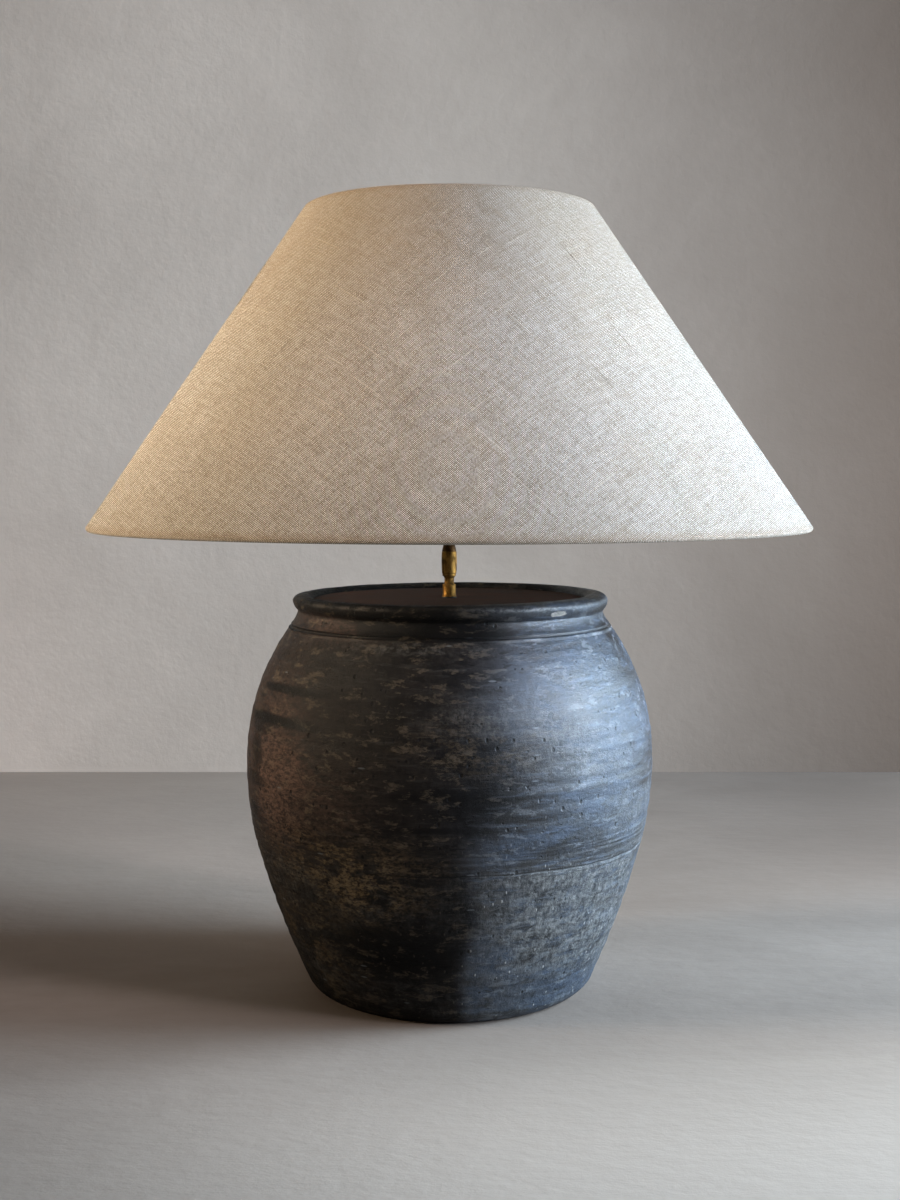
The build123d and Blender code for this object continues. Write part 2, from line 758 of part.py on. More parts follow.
liner_outer = hem_inner - wire_gap
liner_inner = liner_outer - liner
liner_end = hem_outer + 0.3
liner_low = (low_wire[0] + up[0] * liner_end, low_wire[1] + up[1] * liner_end)
liner_high = (high_wire[0] - up[0] * liner_end, high_wire[1] - up[1] * liner_end)
with BuildPart() as shade_liner:
    with BuildSketch(Plane.XZ):
        with BuildLine():
            Polyline(
                (liner_low[0] + out[0] * liner_outer, liner_low[1] + out[1] * liner_outer),
                (liner_high[0] + out[0] * liner_outer, liner_high[1] + out[1] * liner_outer),
                (liner_high[0] + out[0] * liner_inner, liner_high[1] + out[1] * liner_inner),
                (liner_low[0] + out[0] * liner_inner, liner_low[1] + out[1] * liner_inner),
                close=True,
            )
        make_face()
    revolve(axis=Axis.Z)
shade_liner.part.label = "shade_liner"
export_step(shade_liner.part, "parts/shade_liner.step")

with BuildPart() as shade_bottom_ring:
    with BuildSketch(Plane.XZ):
        with Locations(low_wire):
            Circle(wire_radius)
    revolve(axis=Axis.Z)
shade_bottom_ring.part.label = "shade_bottom_ring"
export_step(shade_bottom_ring.part, "parts/shade_bottom_ring.step")

with BuildPart() as shade_top_ring:
    with BuildSketch(Plane.XZ):
        with Locations(high_wire):
            Circle(wire_radius)
    revolve(axis=Axis.Z)
shade_top_ring.part.label = "shade_top_ring"
export_step(shade_top_ring.part, "parts/shade_top_ring.step")

with BuildPart() as shade_hub:
    with BuildSketch(Plane.XY.offset(hub_bottom)):
        Circle(ring_outer_radius + hub_rim)
        Circle(holder_radius + 0.8, mode=Mode.SUBTRACT)
    extrude(amount=hub_thickness)
shade_hub.part.label = "shade_hub"
export_step(shade_hub.part, "parts/shade_hub.step")

# Arms run from the hub's edge down to the rolled bottom edge
arm_start = (ring_outer_radius + hub_rim + arm_gap, hub_bottom + hub_thickness / 2)
arm_run = low_wire[0] - arm_start[0]
arm_fall = arm_start[1] - low_wire[1]
arm_length = sqrt(arm_run**2 + arm_fall**2) - hem_outer - arm_gap
arm_tilt = degrees(asin(arm_fall / sqrt(arm_run**2 + arm_fall**2)))
with BuildPart() as shade_arms:
    with PolarLocations(0, arm_count, start_angle=45):
        with Locations(Location((arm_start[0], 0, arm_start[1]), (0, 90 + arm_tilt, 0))):
            Cylinder(hub_thickness / 2, arm_length, align=(Align.CENTER, Align.CENTER, Align.MIN))
shade_arms.part.label = "shade_arms"
export_step(shade_arms.part, "parts/shade_arms.step")
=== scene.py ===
import math

import bpy
import numpy as np
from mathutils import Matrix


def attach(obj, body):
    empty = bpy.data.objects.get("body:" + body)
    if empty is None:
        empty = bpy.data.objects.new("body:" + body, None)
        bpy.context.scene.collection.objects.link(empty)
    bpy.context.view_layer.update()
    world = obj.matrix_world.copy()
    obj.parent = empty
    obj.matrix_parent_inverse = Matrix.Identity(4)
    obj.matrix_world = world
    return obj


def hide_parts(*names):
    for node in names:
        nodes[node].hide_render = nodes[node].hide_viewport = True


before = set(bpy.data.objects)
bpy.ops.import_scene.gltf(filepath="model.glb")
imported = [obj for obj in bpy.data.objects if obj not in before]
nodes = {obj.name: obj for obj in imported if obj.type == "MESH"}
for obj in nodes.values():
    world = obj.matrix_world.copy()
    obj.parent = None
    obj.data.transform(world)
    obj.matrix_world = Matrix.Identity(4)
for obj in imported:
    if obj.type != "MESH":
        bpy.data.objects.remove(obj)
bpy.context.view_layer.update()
scene = bpy.context.scene
print("frame loaded:", len(nodes), "nodes")


def tint(red, green, blue):  # screen colour, 0 to 255, as the shader wants it
    parts = [c / 255 for c in (red, green, blue)]
    return (*[p / 12.92 if p <= 0.04045 else ((p + 0.055) / 1.055) ** 2.4 for p in parts], 1.0)


# Blurred noise that closes on itself, about -2 to 2
def smoothNoise(rows, cols, alongRows, alongCols, seed):
    rough = np.random.default_rng(seed).standard_normal((rows, cols))
    fy = np.fft.fftfreq(rows)[:, None] * alongRows
    fx = np.fft.fftfreq(cols)[None, :] * alongCols
    soft = np.fft.ifft2(np.fft.fft2(rough) * np.exp(-(math.pi ** 2) * (fx ** 2 + fy ** 2) / 2)).real
    return (soft - soft.mean()) / soft.std()


def ease(low, high, value):
    t = np.clip((value - low) / (high - low), 0, 1)
    return t * t * (3 - 2 * t)


def arcThrough(a, b, c, count):  # points on the arc from a through b to c, without c
    (ax, ay), (bx, by), (cx, cy) = a, b, c
    d = 2 * (ax * (by - cy) + bx * (cy - ay) + cx * (ay - by))
    aa, bb, cc = ax * ax + ay * ay, bx * bx + by * by, cx * cx + cy * cy
    ux = (aa * (by - cy) + bb * (cy - ay) + cc * (ay - by)) / d
    uy = (aa * (cx - bx) + bb * (ax - cx) + cc * (bx - ax)) / d
    r = math.hypot(ax - ux, ay - uy)
    t0, t1, t2 = (math.atan2(p[1] - uy, p[0] - ux) for p in (a, b, c))
    middle, sweep = (t1 - t0) % (2 * math.pi), (t2 - t0) % (2 * math.pi)
    if middle > sweep:
        sweep -= 2 * math.pi
    turns = [t0 + sweep * i / count for i in range(count)]
    return [(ux + r * math.cos(t), uy + r * math.sin(t)) for t in turns]


def meshFrom(name, points, faces):
    mesh = bpy.data.meshes.new(name)
    mesh.from_pydata([tuple(p) for p in points], [], faces)
    mesh.polygons.foreach_set("use_smooth", [True] * len(mesh.polygons))
    mesh.update()
    piece = bpy.data.objects.new(name, mesh)
    scene.collection.objects.link(piece)
    return piece


# Quads of a turned grid, facing outwards when the outline runs upwards
def ringFaces(rows, cols, closed=False):
    faces = []
    for i in range(rows if closed else rows - 1):
        here, above = i * cols, (i + 1) % rows * cols
        for k in range(cols):
            onward = (k + 1) % cols
            faces.append((here + k, here + onward, above + onward, above + k))
    return faces


def eased(outline, radius, steps=3):  # the same closed outline with its corners rounded over
    out = []
    for n, corner in enumerate(outline):
        p, q, s = (np.array(v, float) for v in (outline[n - 1], corner, outline[(n + 1) % len(outline)]))
        toP, toS = np.linalg.norm(p - q), np.linalg.norm(s - q)
        cut = min(radius, toP * 0.4, toS * 0.4)
        a, b = q + (p - q) / toP * cut, q + (s - q) / toS * cut
        for t in np.linspace(0, 1, steps + 1):
            out.append(tuple((1 - t) ** 2 * a + 2 * t * (1 - t) * q + t * t * b))
    return out


# A lathe piece from a closed outline of radii and heights in millimetres, which runs upwards outside
def turned(name, outline, cols=96):
    around = np.linspace(0, 2 * math.pi, cols, endpoint=False)
    line = np.array(outline)
    r, z = np.maximum(line[:, :1], 0.001) / 1000, line[:, 1:] / 1000
    points = np.stack([r * np.cos(around), r * np.sin(around), z + 0 * around], axis=-1).reshape(-1, 3)
    return meshFrom(name, points, ringFaces(len(line), cols, True))


class Finish:  # a material and short ways to add nodes to it
    def __init__(self, name):
        self.material = bpy.data.materials.new(name)
        self.material.use_nodes = True
        self.tree = self.material.node_tree
        self.shader = self.tree.nodes["Principled BSDF"]

    def node(self, kind, inputs=None, **values):
        made = self.tree.nodes.new(kind)
        for key, value in values.items():
            setattr(made, key, value)
        for key, value in (inputs or {}).items():
            self.feed(made.inputs[key], value)
        return made

    def feed(self, socket, value):
        if isinstance(value, (int, float, tuple)):
            socket.default_value = value
        else:
            self.tree.links.new(value, socket)

    def place(self, scale=(1, 1, 1), turn=0.0):
        where = self.node("ShaderNodeTexCoord").outputs["Object"]
        sizes = {"Vector": where, "Scale": scale, "Rotation": (0, 0, turn)}
        return self.node("ShaderNodeMapping", sizes).outputs[0]

    def noise(self, where, scale, detail=4, rough=0.55, warp=0.0):
        sizes = {"Vector": where, "Scale": scale, "Detail": detail, "Roughness": rough, "Distortion": warp}
        return self.node("ShaderNodeTexNoise", sizes).outputs["Fac"]

    def range(self, value, low, high, toLow=0.0, toHigh=1.0):
        sizes = {"Value": value, "From Min": low, "From Max": high, "To Min": toLow, "To Max": toHigh}
        return self.node("ShaderNodeMapRange", sizes, interpolation_type="SMOOTHSTEP").outputs["Result"]

    def math(self, kind, a, b=0.0):
        return self.node("ShaderNodeMath", {0: a, 1: b}, operation=kind).outputs[0]

    def times(self, *values):
        product = values[0]
        for value in values[1:]:
            product = self.math("MULTIPLY", product, value)
        return product

    def mix(self, factor, a, b):
        return self.node("ShaderNodeMix", {0: factor, 6: a, 7: b}, data_type="RGBA").outputs[2]

    def mark(self, name):
        return self.node("ShaderNodeAttribute", attribute_name=name).outputs["Fac"]

    def bump(self, height, distance, strength=1.0, under=None):
        made = self.node("ShaderNodeBump", {"Height": height, "Distance": distance, "Strength": strength})
        if under is not None:
            self.feed(made.inputs["Normal"], under)
        return made.outputs["Normal"]

    def use(self, colour, roughness, normal=None, **constants):
        self.feed(self.shader.inputs["Base Color"], colour)
        self.feed(self.shader.inputs["Roughness"], roughness)
        if normal is not None:
            self.feed(self.shader.inputs["Normal"], normal)
        for key, value in constants.items():
            self.shader.inputs[key.replace("_", " ")].default_value = value
        return self.material


# Dress a piece, set it on its body and hide what it stands for
def settle(piece, body, slot, material=None, *replaced):
    if material is not None:
        piece.data.materials.clear()
        piece.data.materials.append(material)
    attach(piece, body)
    if replaced:
        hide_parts(*replaced)


# Jar: turned clay with throwing rings, pits, a nicked lip and a worn slip with painted light and shade

jarSettings = {
    "columns": 320,
    "bellyRadius": 198.8,
    "bellyHeight": 224.1145,
    "shoulderRadius": 157.4,
    "shoulderTop": 351.0,
    "lowerArc": 300.0,
    "lowerDrop": 97.0,
    "heel": (141.0, 16.0),
    "ringDepth": 0.10,     # throwing rings, mm
    "outOfRound": 0.7,
    "pits": 110,
    "nicks": 9,
    "crackBand": (141.0, 170.0),  # rows are closer here
    "cracks": (            # level, climb at the left, half width, depth, how broken
        (147.0, 17.0, 0.6, 0.8, -0.7),
        (196.0, 0.0, 1.1, 0.25, 0.8),
        (262.0, 0.0, 1.1, 0.2, 0.8),
    ),
    "cordPoint": (0, 0.149406, 0.034),  # metres
    "cordAxis": (0, 0.917478, -0.397786),
    "cordHole": 0.0085,    # its edge lies under the grommet's flange
    "seed": 7,
}

# Patches of wear and of painted shade: strength, turn from the front, height, half sizes and how square the fall is
jarPatches = {
    "umber": (
        (1.0, -0.92, 230, 0.2, 58, 3), (0.5, -1.2, 245, 0.5, 80), (0.5, 2.4, 240, 0.9, 70),
        (0.5, -0.60, 205, 0.22, 26), (0.5, -0.75, 358, 0.35, 14), (0.2, -0.95, 374, 0.6, 12),
    ),
    "ochre": (
        (1.0, -0.52, 152, 0.36, 26), (0.8, -0.42, 122, 0.26, 22), (0.6, -0.95, 60, 0.4, 40),
        (0.6, 1.9, 120, 0.8, 45), (0.3, 0.15, 262, 0.35, 26),
    ),
    "dust": (
        (0.75, 0.55, 268, 0.2, 22), (0.55, 0.72, 238, 0.22, 10), (0.5, 0.12, 284, 0.22, 16),
        (0.6, -0.25, 343, 0.4, 5), (0.6, 1.15, 190, 0.3, 24),
    ),
    "sootAndPaintedShade": (
        (1.1, -0.3, 70, 0.42, 32), (0.8, -0.1, 190, 0.34, 4.5), (1.0, -0.98, 300, 0.3, 4, 4),
        (1.0, -0.95, 273, 0.34, 5, 4), (0.8, -1.15, 240, 0.12, 30), (0.6, -1.2, 185, 0.26, 6),
        (0.7, -0.06, 221, 0.28, 7, 4), (0.5, 0.5, 226, 0.35, 5), (0.7, 2.8, 90, 0.7, 40),
        # the marks at the neck under the lip and on the lip's left are painted shade; the other marks are soot
        (1.3, -0.1, 358.5, 0.5, 10, 4), (1.0, -0.7, 375, 0.8, 12, 4), (0.5, -0.3, 132, 0.2, 6),
    ),
    # painted shade on the jar's left
    "leftPaintedShade": ((0.2, -1.1, 200, 0.5, 200, 4), (0.45, -0.95, 305, 0.4, 60, 4)),
}


def jarOutline(s):
    rise, drop = s["shoulderTop"] - s["bellyHeight"], s["bellyRadius"] - s["shoulderRadius"]
    upperArc = (rise ** 2 + drop ** 2) / (2 * drop)
    upperHalf = math.asin(rise / upperArc) / 2
    lowerHalf = math.asin(s["lowerDrop"] / s["lowerArc"]) / 2
    upperCentre, lowerCentre = s["bellyRadius"] - upperArc, s["bellyRadius"] - s["lowerArc"]
    heel, belly = s["heel"], (s["bellyRadius"], s["bellyHeight"])
    shoulder = (s["shoulderRadius"], s["shoulderTop"])
    lowEnd = (lowerCentre + math.sqrt(s["lowerArc"] ** 2 - s["lowerDrop"] ** 2), belly[1] - s["lowerDrop"])
    taperSwell = 2.4
    taperMid = ((heel[0] + lowEnd[0]) / 2 + taperSwell, (heel[1] + lowEnd[1]) / 2)
    lowerMid = (lowerCentre + s["lowerArc"] * math.cos(lowerHalf), belly[1] - s["lowerArc"] * math.sin(lowerHalf))
    upperMid = (upperCentre + upperArc * math.cos(upperHalf), belly[1] + upperArc * math.sin(upperHalf))
    line = [(0.0, 4.0), (60.0, 4.0), (108.0, 4.0), (110.0, 2.2), (112.0, 0.0), (118.0, 0.0)]  # underside
    line += arcThrough((124, 0), (133.5, 4.75), heel, 12)
    line += arcThrough(heel, taperMid, lowEnd, 64)
    line += arcThrough(lowEnd, lowerMid, belly, 56)
    line += arcThrough(belly, upperMid, shoulder, 78)[:-1]
    low, high = s["crackBand"]
    split = [3 if low < z < high else 1 for _, z in line]
    line = [
        (r + (nextR - r) * k / parts, z + (nextZ - z) * k / parts)
        for (r, z), (nextR, nextZ), parts in zip(line, line[1:] + line[-1:], split)
        for k in range(parts)
    ]
    # Cut ring, neck, rolled lip, then the inside from the mouth down
    line += [(159.0, 349.6), (158.4, 350.3), (157.0, 350.5), (156.2, 351.3), (156.3, 352.1), (156.8, 352.5)]
    line += arcThrough((156.2, 353.3), (152.2, 359.0), (150.0, 365.0), 8)
    line += arcThrough((150.0, 365.0), (153.8, 370.0), (155.1, 375.5), 9)
    line += arcThrough((155.1, 375.5), (153.1, 378.8), (146.5, 380.5), 10)
    line += arcThrough((146.5, 380.5), (137.0, 379.3), (134.0, 376.5), 8)
    outside = len(line)
    line += [(134.0, 376.5), (134.0, 366.0), (134.0, 358.0), (124.0, 358.0), (124.0, 350.0), (144.6, 350.0)]
    line += [(170.6, 310.0), (186.8, 255.0), (188.3, 215.0), (180.8, 160.0), (168.8, 120.0), (142.8, 50.0)]
    line += [(130.6, 26.0), (110.6, 14.0), (0.0, 14.0)]
    return np.array(line), outside


def makeJar(s):
    line, edge = jarOutline(s)
    rows, cols, seed = len(line), s["columns"], s["seed"]
    radius, height = line[:, :1], line[:, 1:]
    angle = np.linspace(0, 2 * math.pi, cols, endpoint=False)[None, :]
    front = (angle + 1.5 * math.pi) % (2 * math.pi) - math.pi  # 0 at the front, plus to the right
    along = np.gradient(line, axis=0)
    along /= np.linalg.norm(along, axis=1, keepdims=True) + 1e-9
    outside = np.arange(rows)[:, None] < edge
    skin = outside * ease(1.0, 14.0, height) * ease(120, 128, radius)
    wall, lip = skin * (1 - ease(345, 350, height)), skin * ease(362, 370, height)

    def grain(alongRows, alongCols, step):
        return smoothNoise(rows, cols, alongRows, alongCols, seed + step)

    def spot(turn, z, turnSize, zSize, power=2):  # soft patch, angles in radians from the front
        gap = (front - turn + math.pi) % (2 * math.pi) - math.pi
        return np.exp(-np.abs(gap / turnSize) ** power - np.abs((height - z) / zSize) ** power)

    sway = 2.4 * grain(30, 90, 0)
    waves = ((0.8, 10.5, 0.4), (1.0, 17.0, 1.9), (0.9, 29.0, 4.1))
    rings = sum(a * np.sin(2 * math.pi * (height + sway) / length + start) for a, length, start in waves)
    move = wall * s["ringDepth"] * rings * (0.65 + 0.35 * grain(40, 60, 1))
    move = move + skin * s["outOfRound"] * grain(110, 130, 2)
    move = move + wall * 0.11 * grain(2.5, 26, 3)  # rib marks
    move = move + skin * 0.07 * grain(3, 4, 4)
    move = move + wall * (1 - ease(70, 120, height)) * 0.10 * grain(26, 3, 5)  # trimming marks near the foot

    crack, crackLip = np.zeros((rows, cols)), np.zeros((rows, cols))
    for level, climb, size, depth, gaps in s["cracks"]:
        own = int(level)  # each crack has its own noise
        path = level + 1.2 * smoothNoise(1, cols, 1, 60, own) + 0.35 * smoothNoise(1, cols, 1, 4, own + 2)
        path = path + climb * ease(0.35, 1.15, -front) * (1 - ease(1.4, 2.4, -front))
        width = size * (1 + 0.35 * np.clip(smoothNoise(1, cols, 1, 5, own + 3), -1, 1.5))
        broken = depth * ease(gaps - 0.6, gaps + 0.5, smoothNoise(1, cols, 1, 14, own + 1))
        crack = np.maximum(crack, broken * np.exp(-((height - path) / width) ** 2))
        crackLip = np.maximum(crackLip, broken * np.exp(-((height - path + 1.5) / 0.7) ** 2))
    move = move - wall * crack

    rng = np.random.default_rng(seed + 9)
    pit, nick = np.zeros((rows, cols)), np.zeros((rows, cols))
    for _ in range(s["pits"]):
        z, turn = 20 + 325 * rng.random(), math.pi * (2 * rng.random() - 1)
        size, deep = 1.3 + 1.2 * rng.random() ** 2, 0.3 + 0.5 * rng.random() ** 2
        pit = np.maximum(pit, deep * spot(turn, z, size * (1 + rng.random()) / 170, size))
    for n in range(s["nicks"]):
        turn = 0.71 if n == 0 else math.pi * (2 * rng.random() - 1)  # the largest sits front right
        z, size = (370.0, 1.0) if n == 0 else (372 + 8 * rng.random(), 0.25 + 0.4 * rng.random())
        nick = np.maximum(nick, size * spot(turn, z, 0.085 * size, 3.4 * size))
    move = move - wall * pit - lip * 0.9 * nick

    r, z = np.maximum(radius + along[:, 1:] * move, 0.0), height - along[:, :1] * move
    points = np.stack([r * np.cos(angle), r * np.sin(angle), z + 0 * angle], axis=-1).reshape(-1, 3) / 1000
    faces = ringFaces(rows, cols)
    middle = points[np.array(faces)].mean(axis=1)
    aside = np.linalg.norm(np.cross(middle - np.array(s["cordPoint"]), np.array(s["cordAxis"])), axis=1)
    drilled = (aside < s["cordHole"]) & (middle[:, 1] > 0.1)  # only through the back wall
    piece = meshFrom("jarClay", points, [f for f, gone in zip(faces, drilled) if not gone])

    # Marks that the slip follows, kept with the mesh
    def patches(label):
        return sum(strength * spot(*where) for strength, *where in jarPatches[label])

    ochre = patches("ochre")
    dust = (1 - ease(110, 200, height + 14 * grain(30, 60, 21))) * ease(2, 14, height)
    dust = dust * (0.7 + 0.3 * grain(16, 24, 22)) * (0.3 + 0.7 * ease(0.0, 0.6, front)) + patches("dust")
    sootAndPaintedShade = patches("sootAndPaintedShade") + 0.4 * ease(1.0, 1.8, grain(8, 40, 23))
    # painted shade in the pits, the cracks and the cut groove
    hollow = 1.2 * pit + 1.3 * crack + 0.9 * ((height > 350.4) & (height < 352.7) & outside)
    smoothness = ease(110, 215, height + 10 * grain(30, 60, 24))
    edges = np.exp(-((height - 376.8) / 2.0) ** 2) * (radius > 147)
    edges = edges + np.exp(-((height - 348.9) / 0.9) ** 2) * (radius > 150) + 0.8 * crackLip
    upper = ease(130, 240, height)
    # The right-hand side: real gloss there, and the mask also gives the slip's colours a paler, bluer painted light
    # on that side
    glossAndPaintedLight = ease(0.03 - 0.13 * upper, 0.18 + 0.6 * upper, front + (0.02 + 0.06 * upper) * grain(20, 12, 27))
    glossAndPaintedLight = glossAndPaintedLight * (1 - ease(2.0, 2.5, front)) * (1 - 0.3 * ease(362, 370, height))
    # painted shade over the front and the left of the jar
    paintedShade = spot(-0.36, 190, 0.48, 190, 4) * (1 - 0.7 * np.clip(ochre, 0, 1)) + patches("leftPaintedShade")
    paintedShade = paintedShade * (0.85 + 0.15 * grain(10, 20, 28))
    marks = {"umber": patches("umber"), "ochre": ochre, "dust": dust, "sootAndPaintedShade": sootAndPaintedShade, "hollow": hollow}
    marks |= {"bare": nick * lip, "rub": edges * (0.6 + 0.4 * grain(3, 16, 26)), "burnish": smoothness}
    marks |= {"glossAndPaintedLight": glossAndPaintedLight, "paintedShade": paintedShade}
    for label, values in marks.items():
        layer = piece.data.attributes.new(label, "FLOAT", "POINT")
        values = np.clip(np.broadcast_to(values, (rows, cols)), 0, 1)
        layer.data.foreach_set("value", values.astype(np.float32).ravel())
    return piece


def slipFinish():
    f = Finish("wornSlipAndPaintedLight")
    matt = f.math("SUBTRACT", 1.0, f.mark("burnish"))
    clouds = f.noise(f.place((1, 1, 2.2)), 11, 8, 0.62, 0.6)
    brushed = f.noise(f.place((1, 1, 8)), 26, 10, 0.72, 0.3)
    gritty = f.noise(f.place((1, 1, 2)), 170, 7, 0.78, 0.2)
    upright = f.noise(f.place((1, 1, 0.28)), 260, 5, 0.7, 0.2)
    grain = f.noise(f.place(), 520, 4, 0.65)
    patches = f.noise(f.place((1, 1, 1.6)), 70, 10, 0.8, 0.5)
    dabs = f.noise(f.place((1, 1, 2.2)), 24, 10, 0.78, 0.5)
    fine = f.math("ADD", f.times(gritty, 0.25), f.times(upright, 0.2))
    mottle = f.math("ADD", f.times(clouds, 0.55), fine)
    glossAndPaintedLight = f.mark("glossAndPaintedLight")
    # painted light: the pale slate and its streaks (next lines) are paler and bluer on the glossy right
    pale = f.mix(glossAndPaintedLight, tint(50, 46, 43), tint(49, 61, 77))
    colour = f.mix(f.range(mottle, 0.40, 0.62), tint(11, 11, 12), pale)
    streak = f.mix(glossAndPaintedLight, tint(64, 62, 60), tint(66, 80, 98))
    colour = f.mix(f.times(f.range(brushed, 0.52, 0.62), 0.55), colour, streak)
    colour = f.mix(f.range(brushed, 0.34, 0.44, 0.7, 0.0), colour, tint(10, 10, 12))
    flakes = f.noise(f.place((1, 1, 3.0)), 52, 8, 0.7, 0.15)
    smears = f.noise(f.place((1, 1, 2.6)), 44, 8, 0.7, 0.15)
    colour = f.mix(f.range(flakes, 0.40, 0.44, 0.75, 0.0), colour, tint(8, 8, 9))
    # painted light: the smears are paler and bluer on the glossy right
    smear = f.mix(glossAndPaintedLight, tint(84, 76, 66), tint(112, 118, 124))
    colour = f.mix(f.range(smears, 0.56, 0.60, 0.0, 0.42), colour, smear)
    clay = f.mix(f.range(gritty, 0.36, 0.64), tint(40, 30, 26), tint(128, 100, 88))
    colour = f.mix(f.times(f.mark("umber"), f.range(dabs, 0.34, 0.48), 0.84), colour, clay)
    earth = f.mix(f.range(gritty, 0.40, 0.60), tint(24, 20, 14), tint(132, 112, 84))
    colour = f.mix(f.times(f.mark("ochre"), f.range(dabs, 0.45, 0.54), 0.88), colour, earth)
    worked = f.math("ADD", f.times(upright, 0.5), f.times(gritty, 0.5))
    powder = f.mix(f.range(worked, 0.38, 0.62), tint(44, 45, 47), tint(132, 131, 127))
    dusty = f.times(f.mark("dust"), f.range(f.math("ADD", patches, f.times(glossAndPaintedLight, 0.04)), 0.44, 0.58))
    colour = f.mix(f.times(dusty, 0.74), colour, powder)
    # black soot, and painted shade at the neck and lip
    black = f.times(f.mark("sootAndPaintedShade"), f.range(f.math("ADD", patches, f.mark("sootAndPaintedShade")), 0.9, 1.1))
    colour = f.mix(f.times(black, 0.97), colour, tint(5, 5, 5))
    worn = f.times(f.mark("rub"), f.range(patches, 0.44, 0.56))
    # rubbed edges, paler on the glossy right as a painted light
    colour = f.mix(f.times(worn, 0.75), colour, f.mix(glossAndPaintedLight, tint(96, 90, 84), tint(172, 174, 174)))

    def flecks(stretch, scale, share, size):  # small dashes, a share of the cells has one
        cells = f.node("ShaderNodeTexVoronoi", {"Vector": f.place(stretch), "Scale": scale}, feature="F1")
        pick = f.node("ShaderNodeSeparateColor", {0: cells.outputs["Color"]}).outputs[0]
        near = f.range(cells.outputs["Distance"], size * 0.5, size, 1.0, 0.0)
        return f.times(near, f.range(pick, 1 - share, 1.01 - share))

    ticks = f.times(flecks((1, 1, 0.45), 260, 0.10, 0.26), f.range(matt, 0.0, 1.0, 0.12, 0.9))
    scratches = flecks((0.35, 0.35, 1.6), 150, 0.05, 0.24)
    # small ticks, paler on the glossy right as a painted light
    colour = f.mix(f.times(ticks, 0.75), colour, f.mix(glossAndPaintedLight, tint(92, 84, 74), tint(168, 166, 160)))
    colour = f.mix(f.times(scratches, 0.4), colour, tint(140, 146, 152))
    lines = f.range(f.noise(f.place((0.5, 0.5, 10)), 14, 4, 0.6), 0.55, 0.60)  # pits lie in rows
    rowDots = f.times(flecks((1, 1, 0.6), 170, 0.6, 0.30), lines)
    dots = f.math("MAXIMUM", flecks((1, 1, 0.8), 120, 0.10, 0.24), rowDots)
    # the pits are painted near black: painted shade in the pits
    colour = f.mix(f.times(dots, 0.9), colour, tint(8, 8, 8))

    # painted shade in the pits, the cracks and the cut groove
    colour = f.mix(f.times(f.mark("hollow"), 0.9), colour, tint(9, 9, 9))
    chipped = f.range(f.math("ADD", f.mark("bare"), f.times(patches, 0.9)), 0.92, 1.02)
    biscuit = f.mix(f.range(gritty, 0.36, 0.62), tint(98, 98, 94), tint(160, 156, 146))
    colour = f.mix(f.times(chipped, 0.85), colour, biscuit)

    grit, haze = f.times(f.range(gritty, 0.35, 0.65), 0.16), f.times(f.range(clouds, 0.35, 0.65), 0.14)
    wear = f.math("ADD", grit, haze)
    rough = f.math("ADD", f.range(f.mark("burnish"), 0.0, 1.0, 0.42, 0.27), wear)
    rough = f.math("ADD", rough, f.times(dusty, 0.2))
    normal = f.bump(clouds, 0.0020, 0.25)
    normal = f.bump(brushed, 0.0010, 0.35, normal)
    normal = f.bump(gritty, 0.0009, 0.7, normal)
    normal = f.bump(f.times(patches, f.range(matt, 0.0, 1.0, 0.25, 1.0)), 0.0018, 0.6, normal)
    normal = f.bump(f.times(upright, f.range(matt, 0.0, 1.0, 0.3, 1.0)), 0.0008, 0.6, normal)
    normal = f.bump(grain, 0.0003, 0.4, normal)
    normal = f.bump(f.math("SUBTRACT", ticks, dots), 0.0008, 0.7, normal)
    # Painted shade: the slip goes near black away from the glossy right
    colourWithShade = f.mix(f.range(glossAndPaintedLight, 0.0, 1.0, 0.28, 0.0), colour, tint(8, 7, 7))
    # painted shade: near black over the front and the left
    colourWithShade = f.mix(f.times(f.mark("paintedShade"), 0.62), colourWithShade, tint(5, 5, 6))
    shaded = f.range(glossAndPaintedLight, 0.0, 0.6, 0.32, 0.0)
    ground = f.times(f.range(smears, 0.54, 0.58), f.range(gritty, 0.44, 0.58), shaded)
    colourWithShade = f.mix(ground, colourWithShade, tint(92, 82, 68))
    f.feed(f.shader.inputs["Specular IOR Level"], f.range(glossAndPaintedLight, 0.0, 1.0, 0.10, 0.56))
    return f.use(colourWithShade, f.math("ADD", rough, f.range(glossAndPaintedLight, 0.0, 1.0, 0.14, 0.0)), normal)


jar = makeJar(jarSettings)
settle(jar, "base", "stoneware", slipFinish(), "jar")
print("jar:", len(jar.data.polygons), "faces")


# Shade cover: linen cut flat, rolled to a cone and turned in round both wires

linenSettings = {
    "bottomRadius": 350.0,
    "topRadius": 143.5,
    "bottom": 444.1796,
    "height": 315.0,
    "hem": 2.9,
    "columns": 540,
    "rows": 64,
    "bias": 45.0,          # the threads' turn on the flat cut, degrees
    "seam": 9.0,           # glued lap at the back, mm
    "thread": 1.35,        # mm between threads
    "hemSteps": 15,        # rows in each turned hem
    "slubs": 1400,         # thick yarns per square metre of the flat cut
    "slubReach": (0.006, 0.032),  # shortest and longest half length, metres
    "slubThick": 0.00013,
    "seed": 21,
}


def coneFacts(s):
    low = np.array((s["bottomRadius"] - s["hem"], s["bottom"] + s["hem"]))
    high = np.array((s["topRadius"] - s["hem"], s["bottom"] + s["height"] - s["hem"]))
    slant = math.atan2(low[0] - high[0], high[1] - low[1])
    out = np.array((math.cos(slant), math.sin(slant)))
    apex = (low[0] + out[0] * s["hem"]) / math.sin(slant)  # from the flat cut's centre to the bottom fold, mm
    return low, high, slant, out, apex


